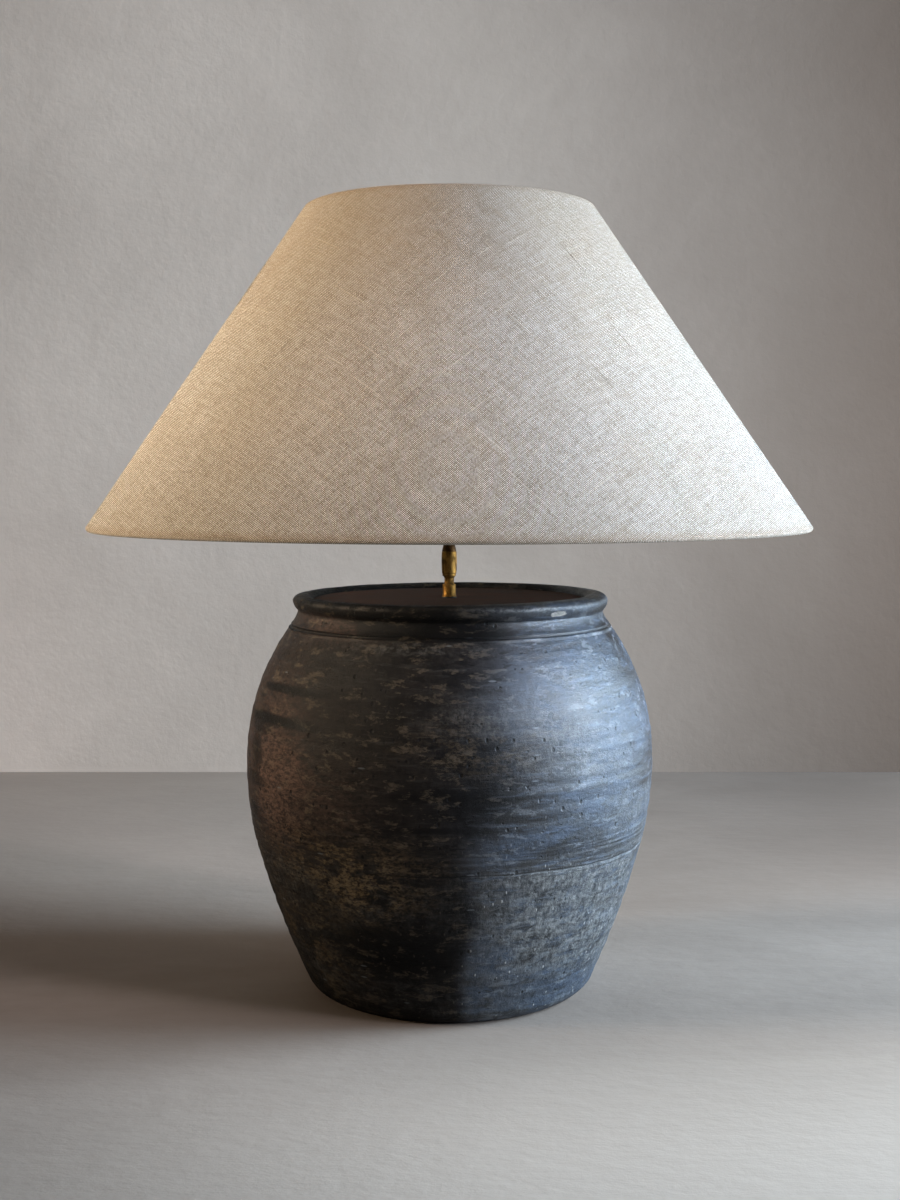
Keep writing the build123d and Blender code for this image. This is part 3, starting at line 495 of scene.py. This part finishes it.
def makeLinen(s):
    low, high, slant, out, apex = coneFacts(s)
    hem = s["hemSteps"]
    turns = np.radians(200) * np.arange(1, hem + 1) / hem
    under = [low + s["hem"] * np.array((math.cos(slant - t), math.sin(slant - t))) for t in turns[::-1]]
    side = [low + (high - low) * t + out * s["hem"] for t in np.linspace(0, 1, s["rows"] + 1)]
    over = [high + s["hem"] * np.array((math.cos(slant + t), math.sin(slant + t))) for t in turns]
    line = np.array(under + side + over)
    rows, cols = len(line), s["columns"]
    steps = np.concatenate([[0], np.cumsum(np.linalg.norm(np.diff(line, axis=0), axis=1))])
    fromFold, toFold = steps - steps[hem], steps[rows - hem - 1] - steps
    angle = np.linspace(-math.pi, math.pi, cols + 1)[None, :]
    inset = np.minimum(1, np.minimum(np.arange(rows), rows - 1 - np.arange(rows)) / 22.0)[:, None]
    wave = 0.35 * smoothNoise(rows, cols, 30, 40, s["seed"]) * inset
    turn = angle[:, :-1]
    lap = ease(0.0, 1.5, s["seam"] - (math.pi - turn) * line[:, :1])
    wave = wave + 0.5 * lap * (inset > 0.3)
    r, z = line[:, :1] + wave * out[0], line[:, 1:] + wave * out[1]
    points = np.stack([r * np.sin(turn), -r * np.cos(turn), z], axis=-1).reshape(-1, 3) / 1000
    piece = meshFrom("shadeLinen", points, ringFaces(rows, cols))
    reach, flat = ((apex - fromFold) / 1000)[:, None], angle * math.sin(slant)
    flat = flat + math.radians(s["bias"])
    cut = np.stack([reach * np.sin(flat), -reach * np.cos(flat)], axis=-1)
    i, k = np.meshgrid(np.arange(rows - 1), np.arange(cols), indexing="ij")
    corners = np.stack([cut[i, k], cut[i, k + 1], cut[i + 1, k + 1], cut[i + 1, k]], axis=2)
    piece.data.uv_layers.new(name="flatCut").data.foreach_set("uv", corners.astype(np.float32).ravel())
    fold = np.clip(1 - np.minimum(fromFold, toFold) / 3.0, 0, 1)
    layer = piece.data.attributes.new("fold", "FLOAT", "POINT")
    layer.data.foreach_set("value", np.repeat(fold, cols).astype(np.float32))
    return piece


def linenFinish(s):
    f = Finish("naturalLinen")
    cut = f.node("ShaderNodeUVMap", uv_map="flatCut").outputs["UV"]

    def stretched(u, v):
        return f.node("ShaderNodeMapping", {"Vector": cut, "Scale": (u, v, 1)}).outputs[0]

    threads = f.node("ShaderNodeSeparateXYZ", {0: stretched(1000 / s["thread"], 1000 / s["thread"])})
    u, v = threads.outputs["X"], threads.outputs["Y"]
    column, row = f.math("FLOOR", u), f.math("FLOOR", v)

    def yarnTone(number, length, offset):  # each thread has its own slow change of tone
        spread = {0: f.times(number, 7.31), 1: f.times(length, 0.035), 2: offset}
        where = f.node("ShaderNodeCombineXYZ", spread)
        return f.noise(where.outputs[0], 1.0, 5, 0.75)

    warpTone, weftTone = yarnTone(column, v, 0.0), yarnTone(row, u, 40.0)
    warpRound = f.math("ABSOLUTE", f.math("SINE", f.times(u, math.pi)))
    weftRound = f.math("ABSOLUTE", f.math("SINE", f.times(v, math.pi)))
    over = f.math("PINGPONG", f.math("ADD", column, row), 1.0)
    under = f.math("SUBTRACT", 1.0, over)
    crown = f.times(warpRound, weftRound)
    tone = f.math("ADD", f.times(warpTone, over), f.times(weftTone, under))
    tone = f.math("MINIMUM", tone, 0.57)  # no single thread stands out
    warpHeight, weftHeight = f.math("ADD", warpRound, crown), f.math("ADD", weftRound, crown)
    height = f.math("ADD", f.times(warpHeight, over), f.times(weftHeight, under))
    yarn = f.mix(f.range(tone, 0.34, 0.64), tint(196, 182, 161), tint(249, 242, 231))
    yarn = f.mix(f.range(tone, 0.54, 0.72, 0.0, 0.6), yarn, tint(254, 252, 247))
    # painted shade between the threads
    yarn = f.mix(f.range(crown, 0.08, 0.80, 1.0, 0.0), yarn, tint(56, 47, 36))
    crossing = f.node("ShaderNodeCombineXYZ", {0: column, 1: row}).outputs[0]
    speck = f.node("ShaderNodeTexWhiteNoise", {"Vector": crossing}, noise_dimensions="2D").outputs["Value"]
    yarn = f.mix(f.range(speck, 0.05, 0.45, 0.32, 0.0), yarn, tint(84, 70, 53))  # no two crossings are alike
    cloudy = f.noise(stretched(14, 14), 1.0, 4, 0.55)
    yarn = f.mix(f.range(cloudy, 0.35, 0.7, 0.0, 0.12), yarn, tint(160, 142, 116))
    # painted shade along the turned hems
    yarn = f.mix(f.times(f.mark("fold"), 0.4), yarn, tint(130, 110, 86))
    up = f.node("ShaderNodeSeparateXYZ", {0: f.place()}).outputs["Z"]
    yarn = f.mix(f.range(up, 0.56, 0.75, 0.0, 0.42), yarn, tint(146, 126, 102))  # darker and browner towards the top
    relief = f.math("ADD", height, f.range(tone, 0.5, 0.8, 0.0, 0.6))
    normal = f.bump(relief, 0.0004, 0.75)
    return f.use(yarn, 0.86, normal, Sheen_Weight=0.1, Sheen_Roughness=0.5, Specular_IOR_Level=0.2)


linen = makeLinen(linenSettings)
settle(linen, "head", "linen", linenFinish(linenSettings), "shade_cover")
print("linen:", len(linen.data.polygons), "faces")


# Trees of geometry nodes for what repeats

def newTree(name, sizes):
    tree = bpy.data.node_groups.new(name, "GeometryNodeTree")
    tree.interface.new_socket("Geometry", in_out="INPUT", socket_type="NodeSocketGeometry")
    for label, value in sizes.items():
        kind = "NodeSocketInt" if isinstance(value, int) else "NodeSocketFloat"
        tree.interface.new_socket(label, in_out="INPUT", socket_type=kind)
    tree.interface.new_socket("Finish", in_out="INPUT", socket_type="NodeSocketMaterial")
    tree.interface.new_socket("Geometry", in_out="OUTPUT", socket_type="NodeSocketGeometry")
    return tree, tree.nodes.new("NodeGroupInput").outputs


def wire(tree, kind, inputs=None, **values):
    made = tree.nodes.new(kind)
    for key, value in values.items():
        setattr(made, key, value)
    for key, value in (inputs or {}).items():
        if isinstance(value, bpy.types.NodeSocket):
            tree.links.new(value, made.inputs[key])
        else:
            made.inputs[key].default_value = value
    return made.outputs[0]


def closeTree(tree, instances, finish):
    real = wire(tree, "GeometryNodeRealizeInstances", {0: instances})
    smooth = wire(tree, "GeometryNodeSetShadeSmooth", {0: real})
    dressed = wire(tree, "GeometryNodeSetMaterial", {0: smooth, "Material": finish})
    tree.links.new(dressed, tree.nodes.new("NodeGroupOutput").inputs[0])


def grow(name, tree, sizes, material):  # run a tree once and keep its result as a plain mesh
    seedling = meshFrom(name + "Seedling", [], [])
    modifier = seedling.modifiers.new("grow", "NODES")
    modifier.node_group = tree
    for item in tree.interface.items_tree:
        if item.in_out == "INPUT" and item.name in sizes:
            modifier[item.identifier] = sizes[item.name]
        if item.in_out == "INPUT" and item.name == "Finish":
            modifier[item.identifier] = material
    ready = seedling.evaluated_get(bpy.context.evaluated_depsgraph_get())
    mesh = bpy.data.meshes.new_from_object(ready)
    seedling.modifiers.clear()
    bpy.data.objects.remove(seedling)
    mesh.name = name
    mesh.materials.clear()  # the tree leaves an empty place before its own material
    mesh.materials.append(material)
    piece = bpy.data.objects.new(name, mesh)
    scene.collection.objects.link(piece)
    return piece


def ribTree(sizes):  # upright grips round a ring
    tree, ask = newTree("gripRibs", sizes)
    circle = wire(tree, "GeometryNodeMeshCircle", {"Vertices": ask["Count"], "Radius": ask["Radius"]})
    lift = wire(tree, "ShaderNodeCombineXYZ", {2: ask["Height"]})
    lifted = wire(tree, "GeometryNodeSetPosition", {"Geometry": circle, "Offset": lift})
    shape = {"Vertices": 8, "Radius": ask["Rib radius"], "Depth": ask["Rib length"]}
    rib = wire(tree, "GeometryNodeMeshCylinder", shape)
    closeTree(tree, wire(tree, "GeometryNodeInstanceOnPoints", {"Points": lifted, "Instance": rib}), ask["Finish"])
    return tree


def ridgeTree(sizes):  # the crests of a thread, one above the other
    tree, ask = newTree("threadCrests", sizes)
    start = wire(tree, "ShaderNodeCombineXYZ", {2: ask["Start"]})
    step = wire(tree, "ShaderNodeCombineXYZ", {2: ask["Pitch"]})
    levels = wire(tree, "GeometryNodeMeshLine", {"Count": ask["Count"], "Start Location": start, "Offset": step})
    loop = wire(tree, "GeometryNodeCurvePrimitiveCircle", {"Resolution": 48, "Radius": ask["Radius"]})
    crest = wire(tree, "GeometryNodeCurvePrimitiveCircle", {"Resolution": 8, "Radius": ask["Crest"]})
    ring = wire(tree, "GeometryNodeCurveToMesh", {0: loop, 1: crest})
    closeTree(tree, wire(tree, "GeometryNodeInstanceOnPoints", {"Points": levels, "Instance": ring}), ask["Finish"])
    return tree


beadSides = 6  # a slub is a stretched bead


def slubTree(sizes):  # thick places in the yarn, strewn along and across the flat cut
    tree, ask = newTree("slubYarns", sizes)
    sheet = wire(tree, "GeometryNodeMeshGrid", {"Size X": ask["Width"], "Size Y": ask["Length"]})
    strewn = {"Mesh": sheet, "Density": ask["Density"], "Seed": ask["Seed"]}
    dots = wire(tree, "GeometryNodeDistributePointsOnFaces", strewn)
    flip = tree.nodes.new("FunctionNodeRandomValue")
    flip.data_type = "BOOLEAN"
    across = wire(tree, "ShaderNodeMath", {0: flip.outputs[3], 1: math.pi / 2}, operation="MULTIPLY")
    slanted = wire(tree, "ShaderNodeMath", {0: across, 1: ask["Bias"]}, operation="ADD")
    turn = wire(tree, "ShaderNodeCombineXYZ", {2: slanted})
    reach = tree.nodes.new("FunctionNodeRandomValue")
    reach.data_type = "FLOAT"
    tree.links.new(ask["Shortest"], reach.inputs[2])
    tree.links.new(ask["Longest"], reach.inputs[3])
    size = wire(tree, "ShaderNodeCombineXYZ", {0: reach.outputs[1], 1: ask["Thickness"], 2: ask["Thickness"]})
    shape = {"Segments": beadSides, "Rings": beadSides, "Radius": 1.0}
    bead = wire(tree, "GeometryNodeMeshUVSphere", shape)
    grown = {"Points": dots, "Instance": bead, "Rotation": turn, "Scale": size}
    closeTree(tree, wire(tree, "GeometryNodeInstanceOnPoints", grown), ask["Finish"])
    return tree


def yarnFinish():
    f = Finish("slubYarn")
    fibre = f.noise(f.place(), 240, 4, 0.6)
    colour = f.mix(f.range(fibre, 0.3, 0.7), tint(166, 153, 132), tint(206, 196, 180))
    up = f.node("ShaderNodeSeparateXYZ", {0: f.place()}).outputs["Z"]
    colour = f.mix(f.range(up, 0.5, 0.75, 0.0, 0.4), colour, tint(146, 126, 102))
    return f.use(colour, 0.86, f.bump(f.noise(f.place(), 1500, 2), 0.0002, 0.5), Specular_IOR_Level=0.2)


def makeSlubs(s):
    low, high, slant, out, apex = coneFacts(s)
    sizes = {"Width": 1.3, "Length": 1.3, "Density": float(s["slubs"]), "Seed": s["seed"]}
    shortest, longest = s["slubReach"]
    sizes |= {"Shortest": shortest, "Longest": longest, "Thickness": s["slubThick"]}
    sizes["Bias"] = math.radians(s["bias"])
    piece = grow("shadeSlubs", slubTree(sizes), sizes, yarnFinish())
    flat = np.empty(len(piece.data.vertices) * 3, np.float32)
    piece.data.vertices.foreach_get("co", flat)
    each = beadSides * (beadSides - 1) + 2  # points in one yarn
    flat = flat.reshape(-1, each, 3).astype(float)
    reach = np.hypot(flat[..., 0], flat[..., 1]) * 1000
    sweep = np.arctan2(flat[..., 0], -flat[..., 1]) / math.sin(slant)
    top = apex - np.linalg.norm(high - low)
    inside = ((reach > top + 3) & (reach < apex - 3) & (np.abs(sweep) < math.pi - 0.02)).all(axis=1)
    lift = flat[..., 2] * 1000 + 0.04
    r = reach * math.sin(slant) + lift * out[0]
    z = low[1] + out[1] * s["hem"] + (apex - reach) * math.cos(slant) + lift * out[1]
    rolled = np.stack([r * np.sin(sweep), -r * np.cos(sweep), z], axis=-1) / 1000
    rolled = rolled.reshape(-1, 3)
    keep = np.repeat(inside, each)
    number = np.cumsum(keep) - 1
    faces = [tuple(p.vertices) for p in piece.data.polygons]
    faces = [tuple(int(number[v]) for v in face) for face in faces if keep[face[0]]]
    material = piece.data.materials[0]
    bpy.data.objects.remove(piece)
    made = meshFrom("slubYarns", rolled[keep], faces)
    made.data.materials.append(material)
    return made


slubs = makeSlubs(linenSettings)
settle(slubs, "head", "linen")
print("slubs:", len(slubs.data.polygons), "faces")


# Wooden disc in the mouth

def woodFinish():
    f = Finish("stainedWood")
    turn = math.radians(4)
    grain = f.noise(f.place((3, 60, 20), turn), 4.0, 7, 0.62, 0.8)
    pores = f.noise(f.place((40, 1400, 200), turn), 1.0, 2, 0.6)
    cloudy = f.noise(f.place(), 12, 5)
    colour = f.mix(f.range(grain, 0.3, 0.7), tint(24, 12, 6), tint(72, 41, 23))
    colour = f.mix(f.range(pores, 0.58, 0.72, 0.0, 0.6), colour, tint(15, 11, 10))
    colour = f.mix(f.range(cloudy, 0.4, 0.7, 0.0, 0.4), colour, tint(34, 25, 21))
    rough = f.range(grain, 0.2, 0.8, 0.66, 0.82)
    normal = f.bump(pores, 0.0004, 0.6, f.bump(grain, 0.0005, 0.4))
    return f.use(colour, rough, normal, Specular_IOR_Level=0.12)


discOutline = [
    (5.25, 358.0), (133.1, 358.0), (133.1, 374.6), (132.6, 375.6),
    (131.6, 376.0), (90.0, 376.0), (40.0, 376.0), (5.25, 376.0),
]
disc = turned("lidDisc", eased(discOutline, 0.3), 128)
settle(disc, "base", "stained_wood", woodFinish(), "lid_disc")


# Metals, plastics, rubber and glass

def brassFinish(name, light, dark, polish):
    f = Finish(name)
    patina = f.noise(f.place((1, 1, 0.5)), 230, 5, 0.6, 0.4)
    lathe = f.noise(f.place((20, 20, 2600)), 1.0, 3, 0.6)
    colour = f.mix(f.range(patina, 0.36, 0.66), light, dark)
    roughness = f.range(patina, 0.2, 0.8, polish, polish + 0.16)
    return f.use(colour, roughness, f.bump(lathe, 0.0001, 0.3), Metallic=1.0)


def plainFinish(name, light, dark, rough, scale=180, **constants):
    f = Finish(name)
    mottle = f.noise(f.place(), scale, 4, 0.6)
    colour = f.mix(f.range(mottle, 0.3, 0.7), light, dark)
    roughness = f.range(mottle, 0.2, 0.8, rough - 0.06, rough + 0.1)
    return f.use(colour, roughness, f.bump(mottle, 0.0002, 0.3), **constants)


antiqueBrass = brassFinish("antiqueBrass", tint(174, 128, 64), tint(100, 70, 33), 0.56)
darkBrass = brassFinish("darkBrass", tint(104, 74, 44), tint(56, 38, 22), 0.46)
contactBrass = brassFinish("contactBrass", tint(226, 192, 118), tint(180, 142, 74), 0.22)
zincSteel = plainFinish("zincSteel", tint(176, 170, 160), tint(138, 130, 122), 0.34, 260, Metallic=1.0)
brightMetal = plainFinish("brightMetal", tint(214, 214, 212), tint(186, 186, 184), 0.24, 200, Metallic=1.0)
blackPlastic = plainFinish("blackPlastic", tint(34, 31, 29), tint(24, 22, 21), 0.46)
blackRubber = plainFinish("blackRubber", tint(30, 30, 30), tint(20, 20, 20), 0.72, 320)
whitePlastic = plainFinish("whitePlastic", tint(232, 231, 226), tint(222, 220, 214), 0.5)
whitePaint = plainFinish("whitePaint", tint(236, 235, 230), tint(226, 224, 218), 0.38, 300)
whiteCeramic = plainFinish("whiteCeramic", tint(238, 235, 228), tint(228, 224, 214), 0.16, 90)
styrene = plainFinish("styrene", tint(240, 237, 228), tint(232, 228, 217), 0.55, 60)
opal = plainFinish("opalGlass", tint(244, 243, 238), tint(238, 236, 230), 0.2, 40, Subsurface_Weight=0.15)

fittings = {
    "collarBottom": 377.25,
    "collarTop": 389.55,
    "ballCentre": 399.1796,
    "ballRadius": 6.0,
    "neckRadius": 4.7,
    "boreRadius": 3.0,
    "socketRadius": 6.07,
    "ringBottom": 397.3796,
    "barrelBottom": 399.7796,
    "barrelTop": 421.7796,
    "nutTop": 428.1796,
    "holderBottom": 437.1796,
    "capTop": 461.1796,
    "sleeveTop": 496.1796,
    "lowerRing": 475.1796,
    "upperRing": 483.1796,
    "bulbCapTop": 495.2796,
}


def makeFittings(s):
    low, top, ball = s["collarBottom"], s["collarTop"], s["ballCentre"]
    ballRound, neck, bore, hollow = s["ballRadius"], s["neckRadius"], s["boreRadius"], s["socketRadius"]
    drop, rise = math.sqrt(ballRound ** 2 - neck ** 2), math.sqrt(ballRound ** 2 - bore ** 2)
    stem = [(5.05, low), (7.0, low), (7.0, low + 1.1), (6.5, low + 1.6), (6.5, top - 0.5), (6.0, top), (5.3, top)]
    stem = eased(stem + [(neck, top + 0.6), (neck, ball - drop)], 0.25)[2:]
    stem += arcThrough((neck, ball - drop), (ballRound, ball), (bore, ball + rise), 18)
    stem += [(bore, ball + rise), (bore, top - 2.5), (5.05, top - 2.5)]
    settle(turned("swivelStem", stem), "swivel_foot", "antique_brass", antiqueBrass, "swivel_stem")

    bottom = s["ringBottom"]
    ring = [(5.78, bottom), (6.15, bottom), (6.75, bottom + 0.6), (6.75, bottom + 1.5), (6.55, bottom + 1.5)]
    ring += [(6.55, bottom + 4.4), (hollow, bottom + 4.4)]
    ring = eased(ring, 0.15)
    socket = np.radians(np.linspace(0, 15, 6))  # hollow that the ball turns in
    ring += [(hollow * math.cos(a), ball - hollow * math.sin(a)) for a in socket]
    settle(turned("swivelRing", ring), "head", "antique_brass", antiqueBrass, "swivel_ring")

    bottom, top = s["barrelBottom"], s["barrelTop"]
    belly = arcThrough((7.1, bottom + 0.4), (7.55, bottom + 13.2), (7.3, top - 0.4), 20)
    barrel = [(6.6, bottom), (6.8, bottom)] + belly + [(7.3, top - 0.4), (7.0, top), (6.6, top)]
    settle(turned("swivelBarrel", barrel), "head", "antique_brass", antiqueBrass, "swivel_barrel")

    crown = arcThrough((7.1, top), (6.55, top + 3.2), (5.6, s["nutTop"]), 12)
    nut = [(3.8, top - 10.95), (6.55, top - 10.95), (6.55, top)] + crown
    nut += [(5.6, s["nutTop"]), (5.05, s["nutTop"]), (5.05, top - 4), (3.8, top - 4)]
    settle(turned("swivelTopNut", nut), "head", "dark_brass", darkBrass, "swivel_top_nut")

    tube = [(3.6, top - 4), (4.75, top - 4), (4.75, s["holderBottom"] + 11), (3.6, s["holderBottom"] + 11)]
    settle(turned("nippleTube", eased(tube, 0.2), 64), "head", "steel", zincSteel, "nipple")

    low, top = s["holderBottom"], s["capTop"]
    cap = [(5.05, low), (8.0, low), (8.0, low + 3)]
    cap += arcThrough((8.0, low + 3), (16.5, low + 6.5), (20.5, low + 14), 16)
    cap += [(20.5, low + 14), (20.5, top - 0.4), (20.1, top), (18.9, top), (18.9, low + 14.5)]
    cap += arcThrough((18.9, low + 14.5), (15.4, low + 8.2), (8.0, low + 5), 12)
    cap += [(8.0, low + 5), (8.0, low + 10), (5.05, low + 10)]
    settle(turned("holderCap", cap), "head", "black_plastic", blackPlastic, "holder_cap")

    end = s["sleeveTop"]
    sleeve = [(17.2, top + 0.1), (20.5, top + 0.1), (20.5, top + 3), (19.3, top + 3), (19.3, end - 0.8), (18.7, end)]
    sleeve += [(15.2, end), (15.2, top + 7), (17.2, top + 7)]
    settle(turned("holderSleeve", eased(sleeve, 0.3)), "head", "black_plastic", blackPlastic, "holder_sleeve")

    for name, node, z, cutLow, cutHigh in (
        ("shadeRingLower", "shade_ring_lower", s["lowerRing"], 1.2, 0.2),
        ("shadeRingUpper", "shade_ring_upper", s["upperRing"], 0.2, 1.2),
    ):
        bore, rim, high = 19.55, 27.5, z + 5
        ring = [(bore, z), (rim - cutLow, z), (rim, z + cutLow)]
        ring += [(rim, high - cutHigh), (rim - cutHigh, high), (bore, high)]
        settle(turned(name, eased(ring, 0.2)), "head", "black_plastic", blackPlastic, node)

    top = s["bulbCapTop"]
    globe, neck = top + 52, top + 5
    fall = globe - neck

    def tangent(radius, at):
        return math.acos(radius / math.hypot(at, fall)) - math.atan2(fall, at)

    t = tangent(30.0, 13.6)
    outer = [(13.6, top + 0.1), (13.6, neck - 1)]
    outer += [(30 * math.cos(a), globe + 30 * math.sin(a)) for a in np.linspace(t, math.pi / 2, 40)]
    t = tangent(29.0, 12.6)
    inner = [(29 * math.cos(a), globe + 29 * math.sin(a)) for a in np.linspace(math.pi / 2, t, 24)]
    glass = turned("bulbGlass", outer + inner + [(12.6, neck), (12.6, top + 0.1)])
    settle(glass, "head", "opal_glass", opal, "bulb_glass")


def makeRepeats(s):
    grip = {"Count": 40, "Radius": 0.0274, "Height": 0.0, "Rib radius": 0.0008, "Rib length": 0.0034}
    tree = ribTree(grip)
    for name, z in (("lowerGrip", s["lowerRing"] + 2.9), ("upperGrip", s["upperRing"] + 2.1)):
        ribs = grow(name, tree, grip | {"Height": z / 1000}, blackPlastic)
        settle(ribs, "head", "black_plastic")
    start = (s["nutTop"] + 0.3) / 1000
    crests = {"Count": 10, "Radius": 0.0047, "Start": start, "Pitch": 0.001, "Crest": 0.00032}
    settle(grow("nippleThread", ridgeTree(crests), crests, zincSteel), "head", "steel")
    start = (s["capTop"] + 5) / 1000
    turns = {"Count": 11, "Radius": 0.0193, "Start": start, "Pitch": 0.003, "Crest": 0.0004}
    settle(grow("sleeveThread", ridgeTree(turns), turns, blackPlastic), "head", "black_plastic")


makeFittings(fittings)
makeRepeats(fittings)
for material, names in (
    (zincSteel, ("stem_tube", "lid_washer", "lid_nut", "clamp_bar", "clamp_washer", "clamp_nut", "swivel_springs")),
    (blackRubber, ("neck_washer", "clamp_pads", "cord_grommet")),
    (contactBrass, ("holder_contact", "terminal_screws")),
    (brightMetal, ("holder_shell", "bulb_cap", "bulb_tip")),
    (blackPlastic, ("bulb_insulator",)),
    (whitePlastic, ("swivel_seat",)),
    (whitePaint, ("shade_hub", "shade_arms", "shade_bottom_ring", "shade_top_ring")),
    (whiteCeramic, ("holder_insert",)),
    (styrene, ("shade_liner",)),
):
    for name in names:
        nodes[name].data.materials.clear()
        nodes[name].data.materials.append(material)
print("fittings dressed")


# Floor, wall, light and camera

def plasterFinish(name, light, dark, stretch, oneSided):
    f = Finish(name)
    cloudy = f.noise(f.place(stretch), 2.6, 7, 0.6, 0.3)
    trowel = f.noise(f.place(stretch), 38, 6, 0.65)
    colour = f.mix(f.range(cloudy, 0.3, 0.7), light, dark)
    colour = f.mix(f.range(trowel, 0.35, 0.7, 0.0, 0.25), colour, dark)
    where = f.node("ShaderNodeSeparateXYZ", {0: f.place()}).outputs
    if oneSided:  # the wall has painted shade, darker towards the window at the right
        colour = f.mix(f.range(where["X"], -0.9, 1.0, 0.0, 0.96), colour, tint(72, 54, 42))
    else:  # the floor has painted shade behind at the right and painted light behind at the left and in front
        back = f.range(where["Y"], 0.1, 0.5)
        colour = f.mix(f.times(back, f.range(where["X"], 0.0, 0.7, 0.0, 0.7)), colour, tint(108, 93, 82))
        colour = f.mix(f.times(back, f.range(where["X"], 0.05, -0.35, 0.0, 0.45)), colour, tint(200, 182, 166))
        front = f.times(f.range(where["Y"], -0.05, -0.45), f.range(where["X"], -0.4, 0.1, 0.2, 0.95))
        colour = f.mix(front, colour, tint(214, 196, 180))
    material = f.use(colour, 0.92, f.bump(trowel, 0.004, 0.25), Specular_IOR_Level=0.15)
    if oneSided:  # seen from behind the wall is clear
        behind = f.node("ShaderNodeNewGeometry").outputs["Backfacing"]
        clear = f.node("ShaderNodeBsdfTransparent").outputs[0]
        both = f.node("ShaderNodeMixShader", {0: behind, 1: f.shader.outputs[0], 2: clear}).outputs[0]
        f.tree.links.new(both, f.tree.nodes["Material Output"].inputs["Surface"])
    return material


stageSettings = {"reach": 6, "floor": -0.0002, "wall": 1.067, "wallFoot": -0.01, "wallTop": 4}  # metres


def makeStage(s):
    far, level, back, foot, top = (s[key] for key in ("reach", "floor", "wall", "wallFoot", "wallTop"))
    corners = [(-far, -far, level), (far, -far, level), (far, far, level), (-far, far, level)]
    ground = meshFrom("floor", corners, [(0, 1, 2, 3)])
    screed = plasterFinish("paleFloor", tint(170, 154, 141), tint(152, 137, 125), (0.8, 1.4, 1), False)
    ground.data.materials.append(screed)
    corners = [(-far, back, foot), (far, back, foot), (far, back, top), (-far, back, top)]
    upright = meshFrom("wall", corners, [(0, 1, 2, 3)])
    plaster = plasterFinish("paleWall", tint(245, 219, 198), tint(228, 203, 183), (1, 1, 1), True)
    upright.data.materials.append(plaster)
    return ground, upright


floor, wallBack = makeStage(stageSettings)

world = bpy.data.worlds.new("studio")
scene.world = world
world.use_nodes = True
world.node_tree.nodes["Background"].inputs["Color"].default_value = tint(190, 186, 182)
world.node_tree.nodes["Background"].inputs["Strength"].default_value = 0.05


def areaLight(name, place, aim, size, power, colour, spread=180):
    data = bpy.data.lights.new(name, "AREA")
    data.shape = "RECTANGLE"
    data.size, data.size_y = size
    data.energy = power
    data.color = colour
    data.spread = math.radians(spread)
    lamp = bpy.data.objects.new(name, data)
    scene.collection.objects.link(lamp)
    lamp.location = place
    lamp.visible_camera = False
    x, y, z = (a - p for a, p in zip(aim, place))
    lamp.rotation_euler = (math.atan2(math.hypot(x, y), -z), 0, math.atan2(y, x) - math.pi / 2)


areaLight("windowRight", (2.1, -0.08, 0.78), (0, 0, 0.4), (1.1, 1.6), 151, (0.59, 0.79, 1.0))
areaLight("behindRight", (1.3, 0.8, 0.35), (0, 0, 0.2), (0.5, 0.7), 4, (0.64, 0.83, 1.0))
areaLight("lampLeft", (-2.2, -0.32, 0.95), (-0.1, 0, 0.6), (0.9, 0.5), 5.1, (1.0, 0.82, 0.6), 28)
areaLight("highFront", (-0.3, -0.9, 3.0), (0, 0, 0.6), (1.4, 1.2), 5.5, (1.0, 0.84, 0.72))
areaLight("sideRight", (1.88, -1.08, 1.15), (0.07, -0.15, 0.53), (0.6, 0.5), 1.95, (0.91, 0.9, 1.0), 24)

cameraSettings = {
    "place": (0.0008, -1.55, 0.5),
    "sensor": 36,
    "tall": 1200,          # picture height, and the two below, in its pixels
    "focus": 1570,
    "drop": 128,
}
camera = bpy.data.objects.new("camera", bpy.data.cameras.new("camera"))
scene.collection.objects.link(camera)
scene.camera = camera
camera.location = cameraSettings["place"]
camera.rotation_euler = (math.pi / 2, 0, 0)
camera.data.sensor_width = cameraSettings["sensor"]
camera.data.lens = cameraSettings["sensor"] * cameraSettings["focus"] / cameraSettings["tall"]
camera.data.shift_y = -cameraSettings["drop"] / cameraSettings["tall"]
scene.view_settings.view_transform = "Standard"

print("scene ready")
